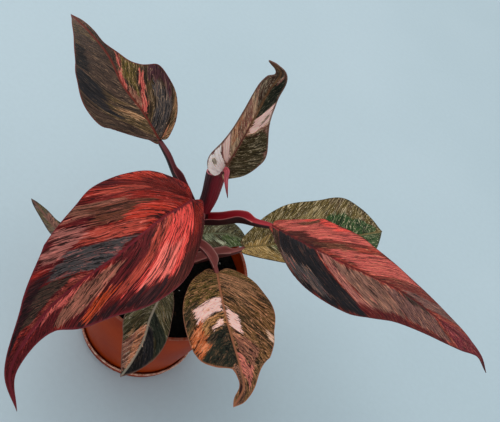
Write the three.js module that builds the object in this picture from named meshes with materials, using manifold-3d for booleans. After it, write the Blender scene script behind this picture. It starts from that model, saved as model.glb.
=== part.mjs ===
// A potted philodendron with red and olive heart-shaped leaves, in millimetres, +Z up.
// The origin is the centre of the saucer's underside, on the surface that the plant stands on.
// +X runs to the plant's right as it is usually looked at, and +Y runs away to its back.

import * as THREE from 'three';
import Module from 'manifold-3d';

const wasm = await Module();
wasm.setup();

// Driving dimensions of the saucer, the pot and the soil.
const PLAY = 0.3;
const ROUND_SIDES = 40;
const SAUCER = { baseRadius: 46, lipRadius: 48, height: 8, wall: 1.5, floor: 1.8 };
const POT = {
  baseRadius: 44,
  rimRadius: 60,
  rimHeight: 98,
  wall: 1.6,
  rimWidth: 2.3,
  rimDepth: 3,
  floor: 2,
};
const DRAIN = { holes: 6, radius: 3.5, circleRadius: 26, sides: 12 };
const SOIL = { edgeHeight: 87, crownHeight: 90, lumpHeight: 0.8 };

// The stem, a thick short cane that the leaves grow from in turn.
const STEM = {
  points: [[0, 0, 52], [0, 0, 88], [1, 0, 108], [0, 1, 128], [2, 2, 148], [2, 3, 166]],
  baseRadius: 6.4,
  topRadius: 5.2,
  jointSpacing: 15,
  jointSwell: 0.5,
  sides: 12,
  steps: 22,
};

// What all the leaves share.
const BLADE_THICKNESS = 1;
const KEEL = { depth: 1.2, halfWidth: 1.6 };
const VEIN_SWEEP = 0.55;
const COLUMNS = [0, 0.12, 0.42, 0.74, 1];
const ROWS_PER_STATION = 2;
const PETIOLE_STEPS = 11;
const PETIOLE_UNDER_BLADE = 9;
const WING_THICKNESS = 0.9;

// Each leaf. The midrib runs from the top of the petiole to the tip, and facing is where the upper
// face looks. A station gives the distance along the midrib, then the half-widths to its left and
// right on the blade laid flat. Folds are the angles that the left and right halves rise by, and
// wave is the height of the ripples at the edge. The petiole's wings are the sheath that it opens
// into, as high as wing and as long as wingEnd says, as a share of the petiole.
const LEAVES = [
  {
    name: 'leaf_front_left',
    color: 0x8e2b23,
    midrib: [
      [-4, -24, 200], [-12, -57, 206], [-18, -81, 200], [-29, -103, 182],
      [-36, -118, 162], [-35, -142, 135], [-21, -152, 118],
    ],
    facing: [0, -0.1, 1],
    folds: [10, 10],
    wave: { height: 1.2, count: 3.5 },
    stations: [
      [-5, 4, 8], [3, 11, 19], [18, 21, 29], [44, 34, 36], [62, 35, 35],
      [80, 28, 32], [98, 22, 24], [122, 9, 11], [148, 4, 4],
    ],
    petiole: { path: [[2, -2, 146], [3, -11, 164], [1, -18, 184]], radius: 2.6, wing: 4, wingEnd: 0.75 },
  },
  {
    name: 'leaf_right',
    color: 0x8c3438,
    midrib: [
      [45, 2, 190], [71, -3, 198], [109, 6, 194], [136, 16, 187],
      [179, 29, 169], [206, 37, 156], [220, 39, 149], [231, 36, 141],
    ],
    facing: [0, -0.1, 1],
    folds: [-8, -8],
    wave: { height: 1, count: 3 },
    stations: [
      [-4, 6, 4], [7, 20, 9], [20, 25, 19], [34, 27, 26], [60, 29, 30], [76, 25, 27],
      [101, 18, 21], [128, 14, 16], [152, 10, 11], [176, 7, 7], [194, 3, 5],
    ],
    petiole: {
      path: [[1, 2, 153], [8, 3, 157], [16, 3, 165], [25, 4, 175], [35, 2, 183]],
      radius: 2.6,
      wing: 3.6,
      wingEnd: 0.68,
    },
  },
  {
    name: 'leaf_back_left',
    color: 0x4c2f26,
    midrib: [
      [-44, 10, 192], [-62, 18, 197], [-82, 26, 199], [-104, 44, 197], [-131, 66, 186], [-160, 91, 168],
    ],
    facing: [0.1, -0.35, 1],
    folds: [5, 30],
    wave: { height: 1.2, count: 3.5 },
    stations: [
      [-4, 5, 6], [5, 12, 16], [22, 27, 26], [38, 28, 26], [50, 27, 16],
      [62, 25, 9], [84, 19, 3], [106, 12, 3], [128, 7, 2.5],
    ],
    petiole: {
      path: [[1, 2, 150], [-8, 3, 162], [-18, 3, 173], [-26, 4, 181], [-34, 6, 188]],
      radius: 2.3,
      wing: 3.4,
      wingEnd: 0.6,
    },
  },
  {
    name: 'leaf_young_upright',
    color: 0x8d6a58,
    midrib: [[2, -4, 212], [3, -3, 238], [4, -3, 262], [2, -1, 282], [0, -5, 298], [-3, -8, 303]],
    facing: [0, -1, 0.2],
    folds: [45, 30],
    wave: { height: 0.6, count: 2.5 },
    stations: [
      [-5, 6, 4], [3, 13, 8], [16, 15, 14], [36, 9, 17], [54, 8, 15], [68, 6, 11], [82, 4, 7],
    ],
    petiole: { path: [[2, 3, 167], [2, 3, 184], [2, 0, 200]], radius: 3.2, wing: 0, wingEnd: 0 },
  },
  {
    name: 'leaf_back_right',
    color: 0x5c4a2a,
    midrib: [[39, 16, 140], [63, 31, 152], [93, 58, 155], [121, 94, 148]],
    facing: [0, 0, 1],
    folds: [8, 8],
    wave: { height: 1, count: 3 },
    stations: [
      [-5, 6, 5], [6, 16, 9], [18, 24, 14], [34, 29, 20], [54, 30, 25],
      [76, 32, 26], [98, 29, 16], [109, 23, 9], [115, 13, 4],
    ],
    petiole: {
      path: [[0, 1, 94], [8, 5, 99], [15, 9, 106], [24, 12, 118], [33, 13, 131]],
      radius: 2.1,
      wing: 3.2,
      wingEnd: 0.75,
    },
  },
  {
    name: 'leaf_front_oval',
    color: 0x6b4a2c,
    midrib: [
      [32, -8, 130], [40, -21, 133], [51, -35, 133], [64, -45, 127],
      [77, -52, 117], [87, -57, 105], [88, -68, 96],
    ],
    facing: [0, -0.3, 1],
    folds: [10, 10],
    wave: { height: 1, count: 3 },
    stations: [
      [-3, 7, 6], [4, 17, 14], [14, 24, 22], [28, 30, 28], [42, 31, 29],
      [54, 28, 25], [63, 25, 14], [71, 19, 4], [80, 11, 3], [90, 4, 1.5],
    ],
    petiole: {
      path: [[1, 2, 120], [7, 3, 127], [14, 1, 132], [22, -3, 134]],
      radius: 1.9,
      wing: 3.4,
      wingEnd: 0.7,
    },
  },
  {
    name: 'leaf_front_small',
    color: 0x4a3c30,
    midrib: [[7, -35, 121], [9, -46, 120], [11, -58, 117], [15, -71, 112], [16, -84, 104], [15, -91, 93]],
    facing: [0, -0.3, 1],
    folds: [10, 10],
    wave: { height: 0.6, count: 2.5 },
    stations: [[-3, 5, 5], [4, 11, 11], [17, 16, 15], [30, 17, 16], [44, 13, 12], [57, 7, 6]],
    petiole: { path: [[0, -1, 102], [3, -10, 108], [6, -22, 117]], radius: 1.7, wing: 2, wingEnd: 0.5 },
  },
  {
    name: 'leaf_back_small',
    color: 0x6d7660,
    midrib: [[4, 24, 109], [14, 31, 115], [26, 38, 117], [36, 42, 114], [42, 46, 109]],
    facing: [0, 0, 1],
    folds: [8, 8],
    wave: { height: 0.5, count: 2.5 },
    stations: [[-3, 4, 4], [4, 9, 10], [14, 11, 13], [25, 11, 13], [35, 7, 8]],
    petiole: { path: [[0, 2, 93], [0, 9, 98], [1, 17, 105]], radius: 1.6, wing: 1.6, wingEnd: 0.5 },
  },
  {
    name: 'leaf_left_narrow',
    color: 0x5d5443,
    midrib: [
      [-32, -30, 130], [-45, -45, 134], [-61, -48, 133], [-72, -46, 130], [-85, -39, 126], [-100, -30, 119],
    ],
    facing: [0, -0.2, 1],
    folds: [8, 8],
    wave: { height: 0.8, count: 2.5 },
    stations: [[-4, 6, 6], [5, 13, 13], [20, 15, 15], [36, 9, 9], [50, 4.5, 4.5], [66, 3.5, 3.5]],
    petiole: { path: [[0, 0, 97], [-9, -7, 104], [-19, -17, 118]], radius: 1.8, wing: 2.4, wingEnd: 0.5 },
  },
];

// The sheath round the young leaf's stalk, open along a slit, and the withered spike that sheathed it.
const SHEATH = {
  points: [[2, 3, 167], [2, 3, 180], [2, 1, 200]],
  baseRadius: 4.8,
  topRadius: 5.4,
  wall: 0.9,
  slitAngle: 45,
  slitWidth: 60,
  sides: 14,
  steps: 6,
};
const SPIKE = {
  points: [
    [6, -4.5, 197], [6, -9, 209], [4.5, -11.5, 218], [6.5, -12, 216], [10, -11, 208], [13, -10, 199.5],
  ],
  radius: 1.5,
  tipRadius: 0.35,
  sides: 8,
  steps: 12,
};

const WELD = 1e-4;
const Z_UP = new THREE.Vector3(0, 0, 1);
const FORWARD = new THREE.Vector3(0, -1, 0);

function vector(list) {
  return new THREE.Vector3(...list);
}

function curveThrough(points) {
  return new THREE.CatmullRomCurve3(points.map(vector), false, 'centripetal');
}

/** Welds the points that coincide, drops the triangles that this flattens, and closes the solid. */
function solidFrom(points, triangles) {
  const places = new Map();
  const merged = [];
  const welded = points.map((point) => {
    const key = [point.x, point.y, point.z].map((value) => Math.round(value / WELD)).join(' ');
    if (!places.has(key)) {
      places.set(key, merged.length);
      merged.push(point);
    }
    return places.get(key);
  });
  let kept = triangles.map((corners) => corners.map((corner) => welded[corner]));
  kept = kept.filter(([a, b, c]) => a !== b && b !== c && c !== a);
  const sixVolumes = kept.reduce((sum, [a, b, c]) => {
    return sum + merged[a].dot(new THREE.Vector3().crossVectors(merged[b], merged[c]));
  }, 0);
  if (sixVolumes < 0) kept = kept.map(([a, b, c]) => [a, c, b]);
  const vertProperties = new Float32Array(merged.flatMap((point) => point.toArray()));
  const triVerts = new Uint32Array(kept.flat());
  return new wasm.Manifold(new wasm.Mesh({ numProp: 3, vertProperties, triVerts }));
}

function solidFromGeometry(geometry) {
  const position = geometry.getAttribute('position');
  const corners = Array.from(geometry.index.array);
  const vertices = Array.from({ length: position.count }, (_, i) => {
    return new THREE.Vector3().fromBufferAttribute(position, i);
  });
  const triangles = Array.from({ length: corners.length / 3 }, (_, i) => corners.slice(3 * i, 3 * i + 3));
  return solidFrom(vertices, triangles);
}

/** A body turned round Z from a profile of [radius, height] pairs that starts and ends on the axis. */
function turnedSolid(profile) {
  const points = profile.map(([radius, height]) => new THREE.Vector2(radius, height));
  return solidFromGeometry(new THREE.LatheGeometry(points, ROUND_SIDES).rotateX(Math.PI / 2));
}

/** The place on a curve, its tangent, and the up and side directions there. */
function frameAt(curve, share, facing) {
  const origin = curve.getPointAt(share);
  const tangent = curve.getTangentAt(share);
  const up = facing.clone().addScaledVector(tangent, -facing.dot(tangent)).normalize();
  const side = new THREE.Vector3().crossVectors(tangent, up);
  return { origin, tangent, up, side };
}

/** A rod along a curve, with the section that sectionAt(share) gives in side and up. */
function sweptSolid(curve, steps, facing, sectionAt) {
  const points = [];
  const triangles = [];
  const size = sectionAt(0).length;
  for (let step = 0; step <= steps; step += 1) {
    const share = step / steps;
    const { origin, up, side } = frameAt(curve, share, facing);
    for (const { x, y } of sectionAt(share)) {
      points.push(origin.clone().addScaledVector(side, x).addScaledVector(up, y));
    }
  }
  for (let step = 0; step < steps; step += 1) {
    for (let i = 0; i < size; i += 1) {
      const a = step * size + i;
      const b = step * size + ((i + 1) % size);
      triangles.push([a, b, b + size], [a, b + size, a + size]);
    }
  }
  const last = steps * size;
  for (const [a, b, c] of THREE.ShapeUtils.triangulateShape(sectionAt(0), [])) triangles.push([a, c, b]);
  for (const [a, b, c] of THREE.ShapeUtils.triangulateShape(sectionAt(1), [])) {
    triangles.push([last + a, last + b, last + c]);
  }
  return solidFrom(points, triangles);
}

function roundSection(radius, sides) {
  return Array.from({ length: sides }, (_, i) => {
    const angle = (2 * Math.PI * i) / sides;
    return new THREE.Vector2(radius * Math.cos(angle), radius * Math.sin(angle));
  });
}

/** A petiole's section: round below, with a channel on top between two wings. */
function petioleSection(radius, wing) {
  const outer = 0.95 * radius;
  const inner = outer - Math.min(WING_THICKNESS, 0.4 * radius);
  const top = 0.6 * radius + wing;
  const upper = [[outer, top], [inner, top], [0.42 * radius, 0.5 * radius], [0, 0.4 * radius]];
  const mirrored = [[-0.42 * radius, 0.5 * radius], [-inner, top], [-outer, top]];
  const bottom = [165, 205, 240, 270, 300, 335, 375].map((degrees) => {
    const angle = THREE.MathUtils.degToRad(degrees);
    return [radius * Math.cos(angle), radius * Math.sin(angle)];
  });
  return [...upper, ...mirrored, ...bottom].map(([x, y]) => new THREE.Vector2(x, y));
}

/** Maps a place on the blade laid flat to its place on the bent leaf, depth below the upper face. */
function bladeMap(leaf) {
  const curve = curveThrough(leaf.midrib);
  const length = curve.getLength();
  const facing = vector(leaf.facing);
  const widest = Math.max(...leaf.stations.map(([, left, right]) => Math.max(left, right)));
  return {
    length,
    place(across, along, depth) {
      const share = THREE.MathUtils.clamp(along / length, 0, 1);
      const { origin, tangent, up, side } = frameAt(curve, share, facing);
      const fold = THREE.MathUtils.degToRad(leaf.folds[across < 0 ? 0 : 1]);
      const outward = Math.abs(across) / widest;
      const phase = across < 0 ? 0 : 1;
      const ripple = leaf.wave.height * Math.sin(2 * Math.PI * leaf.wave.count * share + phase);
      const rise = Math.abs(across) * Math.sin(fold) + ripple * outward * outward - depth;
      return origin
        .addScaledVector(tangent, along - share * length)
        .addScaledVector(side, across * Math.cos(fold))
        .addScaledVector(up, rise);
    },
  };
}

/** The rows of the blade: where each vein leaves the midrib, and where it meets either edge. */
function bladeRows(leaf, length) {
  const ends = [[0, 0, 0], ...leaf.stations, [length, 0, 0]];
  const edge = (column) => {
    return new THREE.SplineCurve(ends.map((station) => new THREE.Vector2(station[column], station[0])));
  };
  const left = edge(1);
  const right = edge(2);
  const rows = (ends.length - 1) * ROWS_PER_STATION;
  let origin = 0;
  return Array.from({ length: rows + 1 }, (_, row) => {
    const [onLeft, onRight] = [left.getPoint(row / rows), right.getPoint(row / rows)];
    const along = (onLeft.y + onRight.y) / 2;
    const across = (onLeft.x + onRight.x) / 2;
    origin = Math.max(origin, along - VEIN_SWEEP * across);
    return { origin, left: onLeft, right: onRight };
  });
}

/** The blade as one closed sheet, with both faces split into triangles alike and a keel below. */
function bladeSolid(leaf) {
  const { length, place } = bladeMap(leaf);
  const rows = bladeRows(leaf, length);
  const points = [];
  const triangles = [];
  for (const hand of ['left', 'right']) {
    const sign = hand === 'left' ? -1 : 1;
    const first = points.length;
    const columns = COLUMNS.length;
    for (const row of rows) {
      for (const share of COLUMNS) {
        const across = share * Math.max(row[hand].x, 0);
        const along = THREE.MathUtils.lerp(row.origin, row[hand].y, share);
        const keel = KEEL.depth * Math.max(0, 1 - across / KEEL.halfWidth) * (1 - 0.7 * (along / length));
        points.push(place(sign * across, along, 0));
        points.push(place(sign * across, along, BLADE_THICKNESS + keel));
      }
    }
    const face = (a, b, c) => triangles.push(sign > 0 ? [a, b, c] : [a, c, b]);
    for (let row = 0; row < rows.length - 1; row += 1) {
      for (let column = 0; column < columns - 1; column += 1) {
        const a = first + 2 * (row * columns + column);
        const b = a + 2 * columns;
        face(a, b, b + 2);
        face(a, b + 2, a + 2);
        face(a + 1, b + 3, b + 1);
        face(a + 1, a + 3, b + 3);
      }
      const a = first + 2 * (row * columns + columns - 1);
      const b = a + 2 * columns;
      face(a, b, b + 1);
      face(a, b + 1, a + 1);
    }
  }
  return solidFrom(points, triangles);
}

/** The petiole, ending in the keel under the blade. */
function petioleSolid(leaf) {
  const { place } = bladeMap(leaf);
  const { path, radius, wing, wingEnd } = leaf.petiole;
  const under = BLADE_THICKNESS + 0.3 * KEEL.depth;
  const ends = [0, 0.5 * PETIOLE_UNDER_BLADE, PETIOLE_UNDER_BLADE];
  const curve = curveThrough([...path, ...ends.map((along) => place(0, along, under).toArray())]);
  const start = vector(path[0]);
  const outward = vector(leaf.midrib[0]).sub(start).setZ(0);
  const facing = outward.length() > 2 * radius ? Z_UP : vector(leaf.facing);
  return sweptSolid(curve, PETIOLE_STEPS, facing, (share) => {
    const slender = THREE.MathUtils.lerp(radius, 0.3 * radius, share ** 3);
    const shoulder = THREE.MathUtils.smoothstep(share, 0.86 * wingEnd, wingEnd + 0.02);
    return petioleSection(slender, wing * (1 - shoulder) * (1 - 0.25 * share));
  });
}

/** The stem. For the hole it stands in, extra widens it all round and deepens it. */
function stemSolid(extra) {
  const curve = curveThrough(STEM.points);
  const length = curve.getLength();
  const solid = sweptSolid(curve, STEM.steps, FORWARD, (share) => {
    const swell = STEM.jointSwell * Math.cos((2 * Math.PI * share * length) / STEM.jointSpacing);
    const radius = THREE.MathUtils.lerp(STEM.baseRadius, STEM.topRadius, share) + swell;
    return roundSection(radius + extra, STEM.sides);
  });
  return extra > 0 ? solid.add(solid.translate([0, 0, -extra])) : solid;
}

/** The tube of the young leaf's sheath; extra widens it all round, for the room it needs. */
function sheathSolid(extra) {
  const curve = curveThrough(SHEATH.points);
  const start = SHEATH.slitAngle + SHEATH.slitWidth / 2;
  const sweep = 360 - SHEATH.slitWidth;
  return sweptSolid(curve, SHEATH.steps, FORWARD, (share) => {
    const radius = THREE.MathUtils.lerp(SHEATH.baseRadius, SHEATH.topRadius, share);
    const arc = (size) => Array.from({ length: SHEATH.sides }, (_, i) => {
      const angle = THREE.MathUtils.degToRad(start + (sweep * i) / (SHEATH.sides - 1));
      return new THREE.Vector2(size * Math.cos(angle), size * Math.sin(angle));
    });
    return [...arc(radius + extra), ...arc(radius - SHEATH.wall - extra).reverse()];
  });
}

function spikeSolid() {
  return sweptSolid(curveThrough(SPIKE.points), SPIKE.steps, new THREE.Vector3(0, 1, 0.3), (share) => {
    const swell = Math.sin(Math.PI * Math.min(1, 0.25 + 1.1 * share));
    return roundSection(SPIKE.tipRadius + (SPIKE.radius - SPIKE.tipRadius) * swell, SPIKE.sides);
  });
}

function saucerSolid() {
  const { baseRadius, lipRadius, height, wall, floor } = SAUCER;
  return turnedSolid([
    [0, 0], [baseRadius - 1, 0], [baseRadius, 1], [lipRadius - 0.4, height - 1], [lipRadius, height - 0.5],
    [lipRadius - 0.4, height], [lipRadius - wall, height], [baseRadius - wall + 0.2, floor], [0, floor],
  ]);
}

const POT_BOTTOM = SAUCER.floor + PLAY;

/** The radius of the pot's outside at a height above the surface. */
function potRadius(height) {
  const share = (height - POT_BOTTOM) / (POT.rimHeight - POT_BOTTOM);
  return THREE.MathUtils.lerp(POT.baseRadius, POT.rimRadius, share);
}

function potSolid() {
  const { rimRadius, rimHeight, wall, rimWidth, rimDepth, floor } = POT;
  const pot = turnedSolid([
    [0, POT_BOTTOM], [potRadius(POT_BOTTOM) - 1, POT_BOTTOM], [potRadius(POT_BOTTOM + 1), POT_BOTTOM + 1],
    [rimRadius - 0.1, rimHeight - 1], [rimRadius - 0.6, rimHeight], [rimRadius - rimWidth + 0.5, rimHeight],
    [rimRadius - rimWidth, rimHeight - 0.6], [potRadius(rimHeight - rimDepth) - wall, rimHeight - rimDepth],
    [potRadius(POT_BOTTOM + floor) - wall, POT_BOTTOM + floor], [0, POT_BOTTOM + floor],
  ]);
  const drill = new THREE.CylinderGeometry(DRAIN.radius, DRAIN.radius, 4 * floor, DRAIN.sides);
  drill.rotateX(Math.PI / 2).translate(DRAIN.circleRadius, 0, POT_BOTTOM);
  const hole = solidFromGeometry(drill);
  const holes = Array.from({ length: DRAIN.holes }, (_, i) => hole.rotate([0, 0, (360 * i) / DRAIN.holes]));
  return holes.reduce((solid, tool) => solid.subtract(tool), pot);
}

/** Potting soil that fills the pot, with a lumpy top that rises towards the stem. */
function soilSolid() {
  const bottom = POT_BOTTOM + POT.floor + PLAY;
  const inside = (height) => potRadius(height) - POT.wall - PLAY;
  const reach = inside(SOIL.edgeHeight);
  const profile = [[0, bottom], [inside(bottom), bottom], [reach, SOIL.edgeHeight]];
  for (const share of [0.86, 0.7, 0.54, 0.38, 0.22]) {
    const rise = (SOIL.crownHeight - SOIL.edgeHeight) * (1 - share * share);
    profile.push([share * reach, SOIL.edgeHeight + rise]);
  }
  profile.push([0, SOIL.crownHeight]);
  const smooth = turnedSolid(profile);
  return smooth.warp((point) => {
    const [x, y, z] = point;
    const radius = Math.hypot(x, y);
    if (z < SOIL.edgeHeight + 0.1 || radius > 0.9 * reach) return;
    point[2] = z + SOIL.lumpHeight * Math.sin(0.31 * x + 1.3) * Math.cos(0.27 * y + 0.4);
  });
}

function meshOf(name, solid, color, roughness) {
  const { numProp, vertProperties, triVerts } = solid.getMesh();
  const positions = new Float32Array((vertProperties.length / numProp) * 3);
  for (let i = 0; i < positions.length / 3; i += 1) {
    positions.set(vertProperties.subarray(i * numProp, i * numProp + 3), i * 3);
  }
  const geometry = new THREE.BufferGeometry();
  geometry.setAttribute('position', new THREE.BufferAttribute(positions, 3));
  geometry.setIndex(new THREE.BufferAttribute(new Uint32Array(triVerts), 1));
  geometry.computeVertexNormals();
  const mesh = new THREE.Mesh(geometry, new THREE.MeshStandardMaterial({ color, roughness, metalness: 0 }));
  mesh.name = name;
  return mesh;
}

/** One leaf: blade and petiole grown together, cut back from the stem that it is borne on. */
function leafMesh(leaf, stemRoom, sheathRoom) {
  const solid = bladeSolid(leaf).add(petioleSolid(leaf)).subtract(stemRoom).subtract(sheathRoom);
  return meshOf(leaf.name, solid, leaf.color, 0.4);
}

const plant = new THREE.Group();
const stemRoom = stemSolid(PLAY);
plant.add(meshOf('saucer', saucerSolid(), 0xa2512f, 0.5));
plant.add(meshOf('pot', potSolid(), 0x9c4426, 0.5));
plant.add(meshOf('soil', soilSolid().subtract(stemRoom), 0x0d0a08, 0.95));
plant.add(meshOf('stem', stemSolid(0), 0x4a1a1c, 0.5));
for (const leaf of LEAVES) plant.add(leafMesh(leaf, stemRoom, sheathSolid(PLAY)));
plant.add(meshOf('young_leaf_sheath', sheathSolid(0), 0x4a1418, 0.4));
plant.add(meshOf('withered_spike', spikeSolid(), 0xa02828, 0.45));

export default plant;
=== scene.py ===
# %% [markdown]
# # A potted philodendron with red, pink and olive leaves
#
# The plant is a short cane in a plastic pot of soil, with nine leaves. Each leaf is a long winged stalk,
# the petiole, and a pointed heart-shaped blade. The colours are variegation: sectors and streaks that
# follow the veins, different on every leaf. We load the solid model that gives every piece its place,
# then lay finer pieces over it and give each one a finish worked out by formula.

# %% Open the solid model
import math
import random

import bmesh
import bpy
import numpy as np
from mathutils import Matrix, Vector, noise


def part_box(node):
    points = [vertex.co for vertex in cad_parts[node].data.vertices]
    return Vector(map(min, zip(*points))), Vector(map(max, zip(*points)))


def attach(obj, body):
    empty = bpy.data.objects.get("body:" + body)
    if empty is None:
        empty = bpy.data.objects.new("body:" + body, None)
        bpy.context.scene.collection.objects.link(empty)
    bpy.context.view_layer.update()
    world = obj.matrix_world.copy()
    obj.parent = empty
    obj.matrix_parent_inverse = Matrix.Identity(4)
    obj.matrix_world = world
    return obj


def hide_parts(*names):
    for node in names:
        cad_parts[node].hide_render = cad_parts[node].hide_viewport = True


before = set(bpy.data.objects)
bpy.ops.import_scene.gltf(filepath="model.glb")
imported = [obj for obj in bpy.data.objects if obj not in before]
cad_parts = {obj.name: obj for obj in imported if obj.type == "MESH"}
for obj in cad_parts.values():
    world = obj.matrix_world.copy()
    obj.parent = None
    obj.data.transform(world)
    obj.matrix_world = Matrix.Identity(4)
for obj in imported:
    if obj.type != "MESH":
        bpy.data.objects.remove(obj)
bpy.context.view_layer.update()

MM = 0.001

# %% [markdown]
# ## Camera
#
# The plant is looked at from above and in front, and the camera is turned about its own line of sight, so
# that the upright pot seems to lean. A camera could be aimed with a constraint, but two plain turns are
# easier to read: tip it up from straight down, and then roll it.

# %% Place the camera
CAMERA_PLACE = Vector((28.2, -287.1, 511.9)) * MM
CAMERA_ELEVATION = math.radians(48.09)
CAMERA_ROLL = math.radians(32.36)
LENS = 50

bpy.ops.object.select_all(action="DESELECT")
bpy.ops.object.camera_add(location=CAMERA_PLACE)
camera = bpy.context.object
tip = Matrix.Rotation(math.pi / 2 - CAMERA_ELEVATION, 4, "X")
camera.matrix_world = Matrix.Translation(CAMERA_PLACE) @ tip @ Matrix.Rotation(CAMERA_ROLL, 4, "Z")
camera.data.lens = LENS
camera.data.clip_start = 0.01
bpy.context.scene.camera = camera
print("camera is", round(CAMERA_PLACE.length, 3), "m from the pot's foot")

# %% [markdown]
# ## Light
#
# The plant stands in soft daylight from above, so its shadows are pale and wide. One large area lamp
# overhead gives them, and a pale sky lights the rest.

# %% Hang the lamp
SKY = (0.93, 0.98, 1.0, 1)
SKY_STRENGTH = 0.70
LAMP_PLACE = Vector((-0.45, 0.5, 1.6))
LAMP_AIM = Vector((0, 0, 0.1))
LAMP_SIZE = 1.6
LAMP_POWER = 11
LAMP_COLOUR = (1.0, 0.98, 0.95)

world = bpy.data.worlds.new("pale_sky")
bpy.context.scene.world = world
world.use_nodes = True
world.node_tree.nodes["Background"].inputs["Color"].default_value = SKY
world.node_tree.nodes["Background"].inputs["Strength"].default_value = SKY_STRENGTH
bpy.ops.object.light_add(type="AREA", location=LAMP_PLACE)
lamp = bpy.context.object
lamp.name = "overhead"
lamp.data.size = LAMP_SIZE
lamp.data.energy = LAMP_POWER
lamp.data.color = LAMP_COLOUR
lamp.rotation_euler = (LAMP_AIM - LAMP_PLACE).to_track_quat("-Z", "Y").to_euler()
bpy.context.scene.view_settings.view_transform = "Standard"
print("lamp", round(LAMP_PLACE.length, 2), "m from the plant")

# %% [markdown]
# ## Writing finishes as sums
#
# A finish is a graph of nodes. Linking dozens of Math nodes by hand hides the idea, so two small classes
# let us write it as Python expressions. A Wire is one socket, and its operators add Math nodes. A Finish
# is the material, and its node method adds anything else.


# %% Wires and finishes
class Wire:
    """A socket of a finish, which sums can be written with."""

    def __init__(self, finish, socket):
        self.finish = finish
        self.socket = socket

    def __add__(self, other):
        return self.finish.math("ADD", self, other)

    def __radd__(self, other):
        return self.finish.math("ADD", other, self)

    def __sub__(self, other):
        return self.finish.math("SUBTRACT", self, other)

    def __rsub__(self, other):
        return self.finish.math("SUBTRACT", other, self)

    def __mul__(self, other):
        return self.finish.math("MULTIPLY", self, other)

    def __rmul__(self, other):
        return self.finish.math("MULTIPLY", other, self)

    def __abs__(self):
        return self.finish.math("ABSOLUTE", self)


class Finish:
    """A material whose pattern is worked out by formula."""

    def __init__(self, name):
        self.material = bpy.data.materials.new(name)
        self.material.use_nodes = True
        self.tree = self.material.node_tree
        self.shader = self.tree.nodes["Principled BSDF"]

    def feed(self, socket, value):
        if isinstance(value, Wire):
            self.tree.links.new(value.socket, socket)
        else:
            socket.default_value = value

    def node(self, kind, settings=None, inputs=None, output=0):
        made = self.tree.nodes.new(kind)
        for key, value in (settings or {}).items():
            setattr(made, key, value)
        for key, value in (inputs or {}).items():
            self.feed(made.inputs[key], value)
        return Wire(self, made.outputs[output])

    def math(self, operation, *values):
        return self.node("ShaderNodeMath", {"operation": operation}, dict(enumerate(values)))

    def ramp(self, value, low, high):
        """0 where value is at low and 1 where it is at high, with a smooth rise between."""
        ends = {"Value": value, "From Min": low, "From Max": high}
        return self.node("ShaderNodeMapRange", {"interpolation_type": "SMOOTHSTEP"}, ends)

    def mix(self, under, over, share):
        return self.node("ShaderNodeMix", {"data_type": "RGBA"}, {0: share, 6: under, 7: over}, 2)

    def scaled(self, colour, by):
        return self.node("ShaderNodeVectorMath", {"operation": "SCALE"}, {0: colour, "Scale": by})

    def vector(self, x=0.0, y=0.0, z=0.0):
        return self.node("ShaderNodeCombineXYZ", None, {0: x, 1: y, 2: z})

    def parts(self, vector):
        made = self.tree.nodes.new("ShaderNodeSeparateXYZ")
        self.feed(made.inputs[0], vector)
        return [Wire(self, socket) for socket in made.outputs]

    def place(self):
        return self.node("ShaderNodeTexCoord", None, None, "Object")

    def map(self, name):
        return self.parts(self.node("ShaderNodeUVMap", {"uv_map": name}))

    def noise(self, vector, scale=1.0, detail=2.0, roughness=0.5):
        inputs = {"Vector": vector, "Scale": scale, "Detail": detail, "Roughness": roughness}
        return self.node("ShaderNodeTexNoise", None, inputs, "Fac")

    def bump(self, height, distance):
        return self.node("ShaderNodeBump", None, {"Height": height, "Distance": distance, "Strength": 1.0})

    def surface(self, **inputs):
        for key, value in inputs.items():
            self.feed(self.shader.inputs[key.replace("_", " ")], value)
        return self.material


def paint(code):
    """A colour as light, from six hexadecimal digits as a screen shows it."""
    parts = [int(code[i : i + 2], 16) / 255 for i in (0, 2, 4)]
    light = [p / 12.92 if p <= 0.04045 else ((p + 0.055) / 1.055) ** 2.4 for p in parts]
    return (*light, 1.0)


print("a mid red as light:", [round(value, 3) for value in paint("b03a30")])

# %% [markdown]
# ## Floor
#
# A pale blue-grey board, matt and a little cloudy. It is a stage for the picture and not a piece of the
# plant, so it is one big plane.

# %% Lay the floor
FLOOR_SIDE = 14
FLOOR_DROP = 0.0003


def floor_finish():
    floor = Finish("pale_board")
    place = floor.place()
    clouds = floor.noise(place, scale=3.0, detail=3)
    grain = floor.noise(place, scale=220.0, detail=2)
    colour = floor.mix(paint("b7cad3"), paint("bdcfd8"), floor.ramp(clouds, 0.3, 0.7))
    colour = floor.scaled(colour, 0.97 + 0.06 * grain)
    normal = floor.bump(grain, 0.1 * MM)
    return floor.surface(Base_Color=colour, Roughness=0.75, Normal=normal)


bpy.ops.mesh.primitive_plane_add(size=FLOOR_SIDE, location=(0, 0, -FLOOR_DROP))
floor = bpy.context.object
floor.name = "floor"
floor.data.materials.append(floor_finish())

# %% [markdown]
# ## Helpers for modelling
#
# Operators act on whatever is selected, so each new piece starts with nothing selected. Faces and edges are
# picked in code by where they are. At the end a piece rides on the plant's one body, hides the plain solid
# that it stands for, and is named.


# %% Start, pick and finish a piece
def start():
    if bpy.context.mode != "OBJECT":
        bpy.ops.object.mode_set(mode="OBJECT")
    bpy.ops.object.select_all(action="DESELECT")


def pick(kind, test):
    """Selects the faces or edges of the mesh in edit mode that pass the test."""
    mesh = bpy.context.object.data
    shape = bmesh.from_edit_mesh(mesh)
    bpy.ops.mesh.select_all(action="DESELECT")
    bpy.ops.mesh.select_mode(type="FACE" if kind == "faces" else "EDGE")
    for element in getattr(shape, kind):
        element.select_set(test(element))
    shape.select_flush_mode()
    bmesh.update_edit_mesh(mesh)


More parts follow.
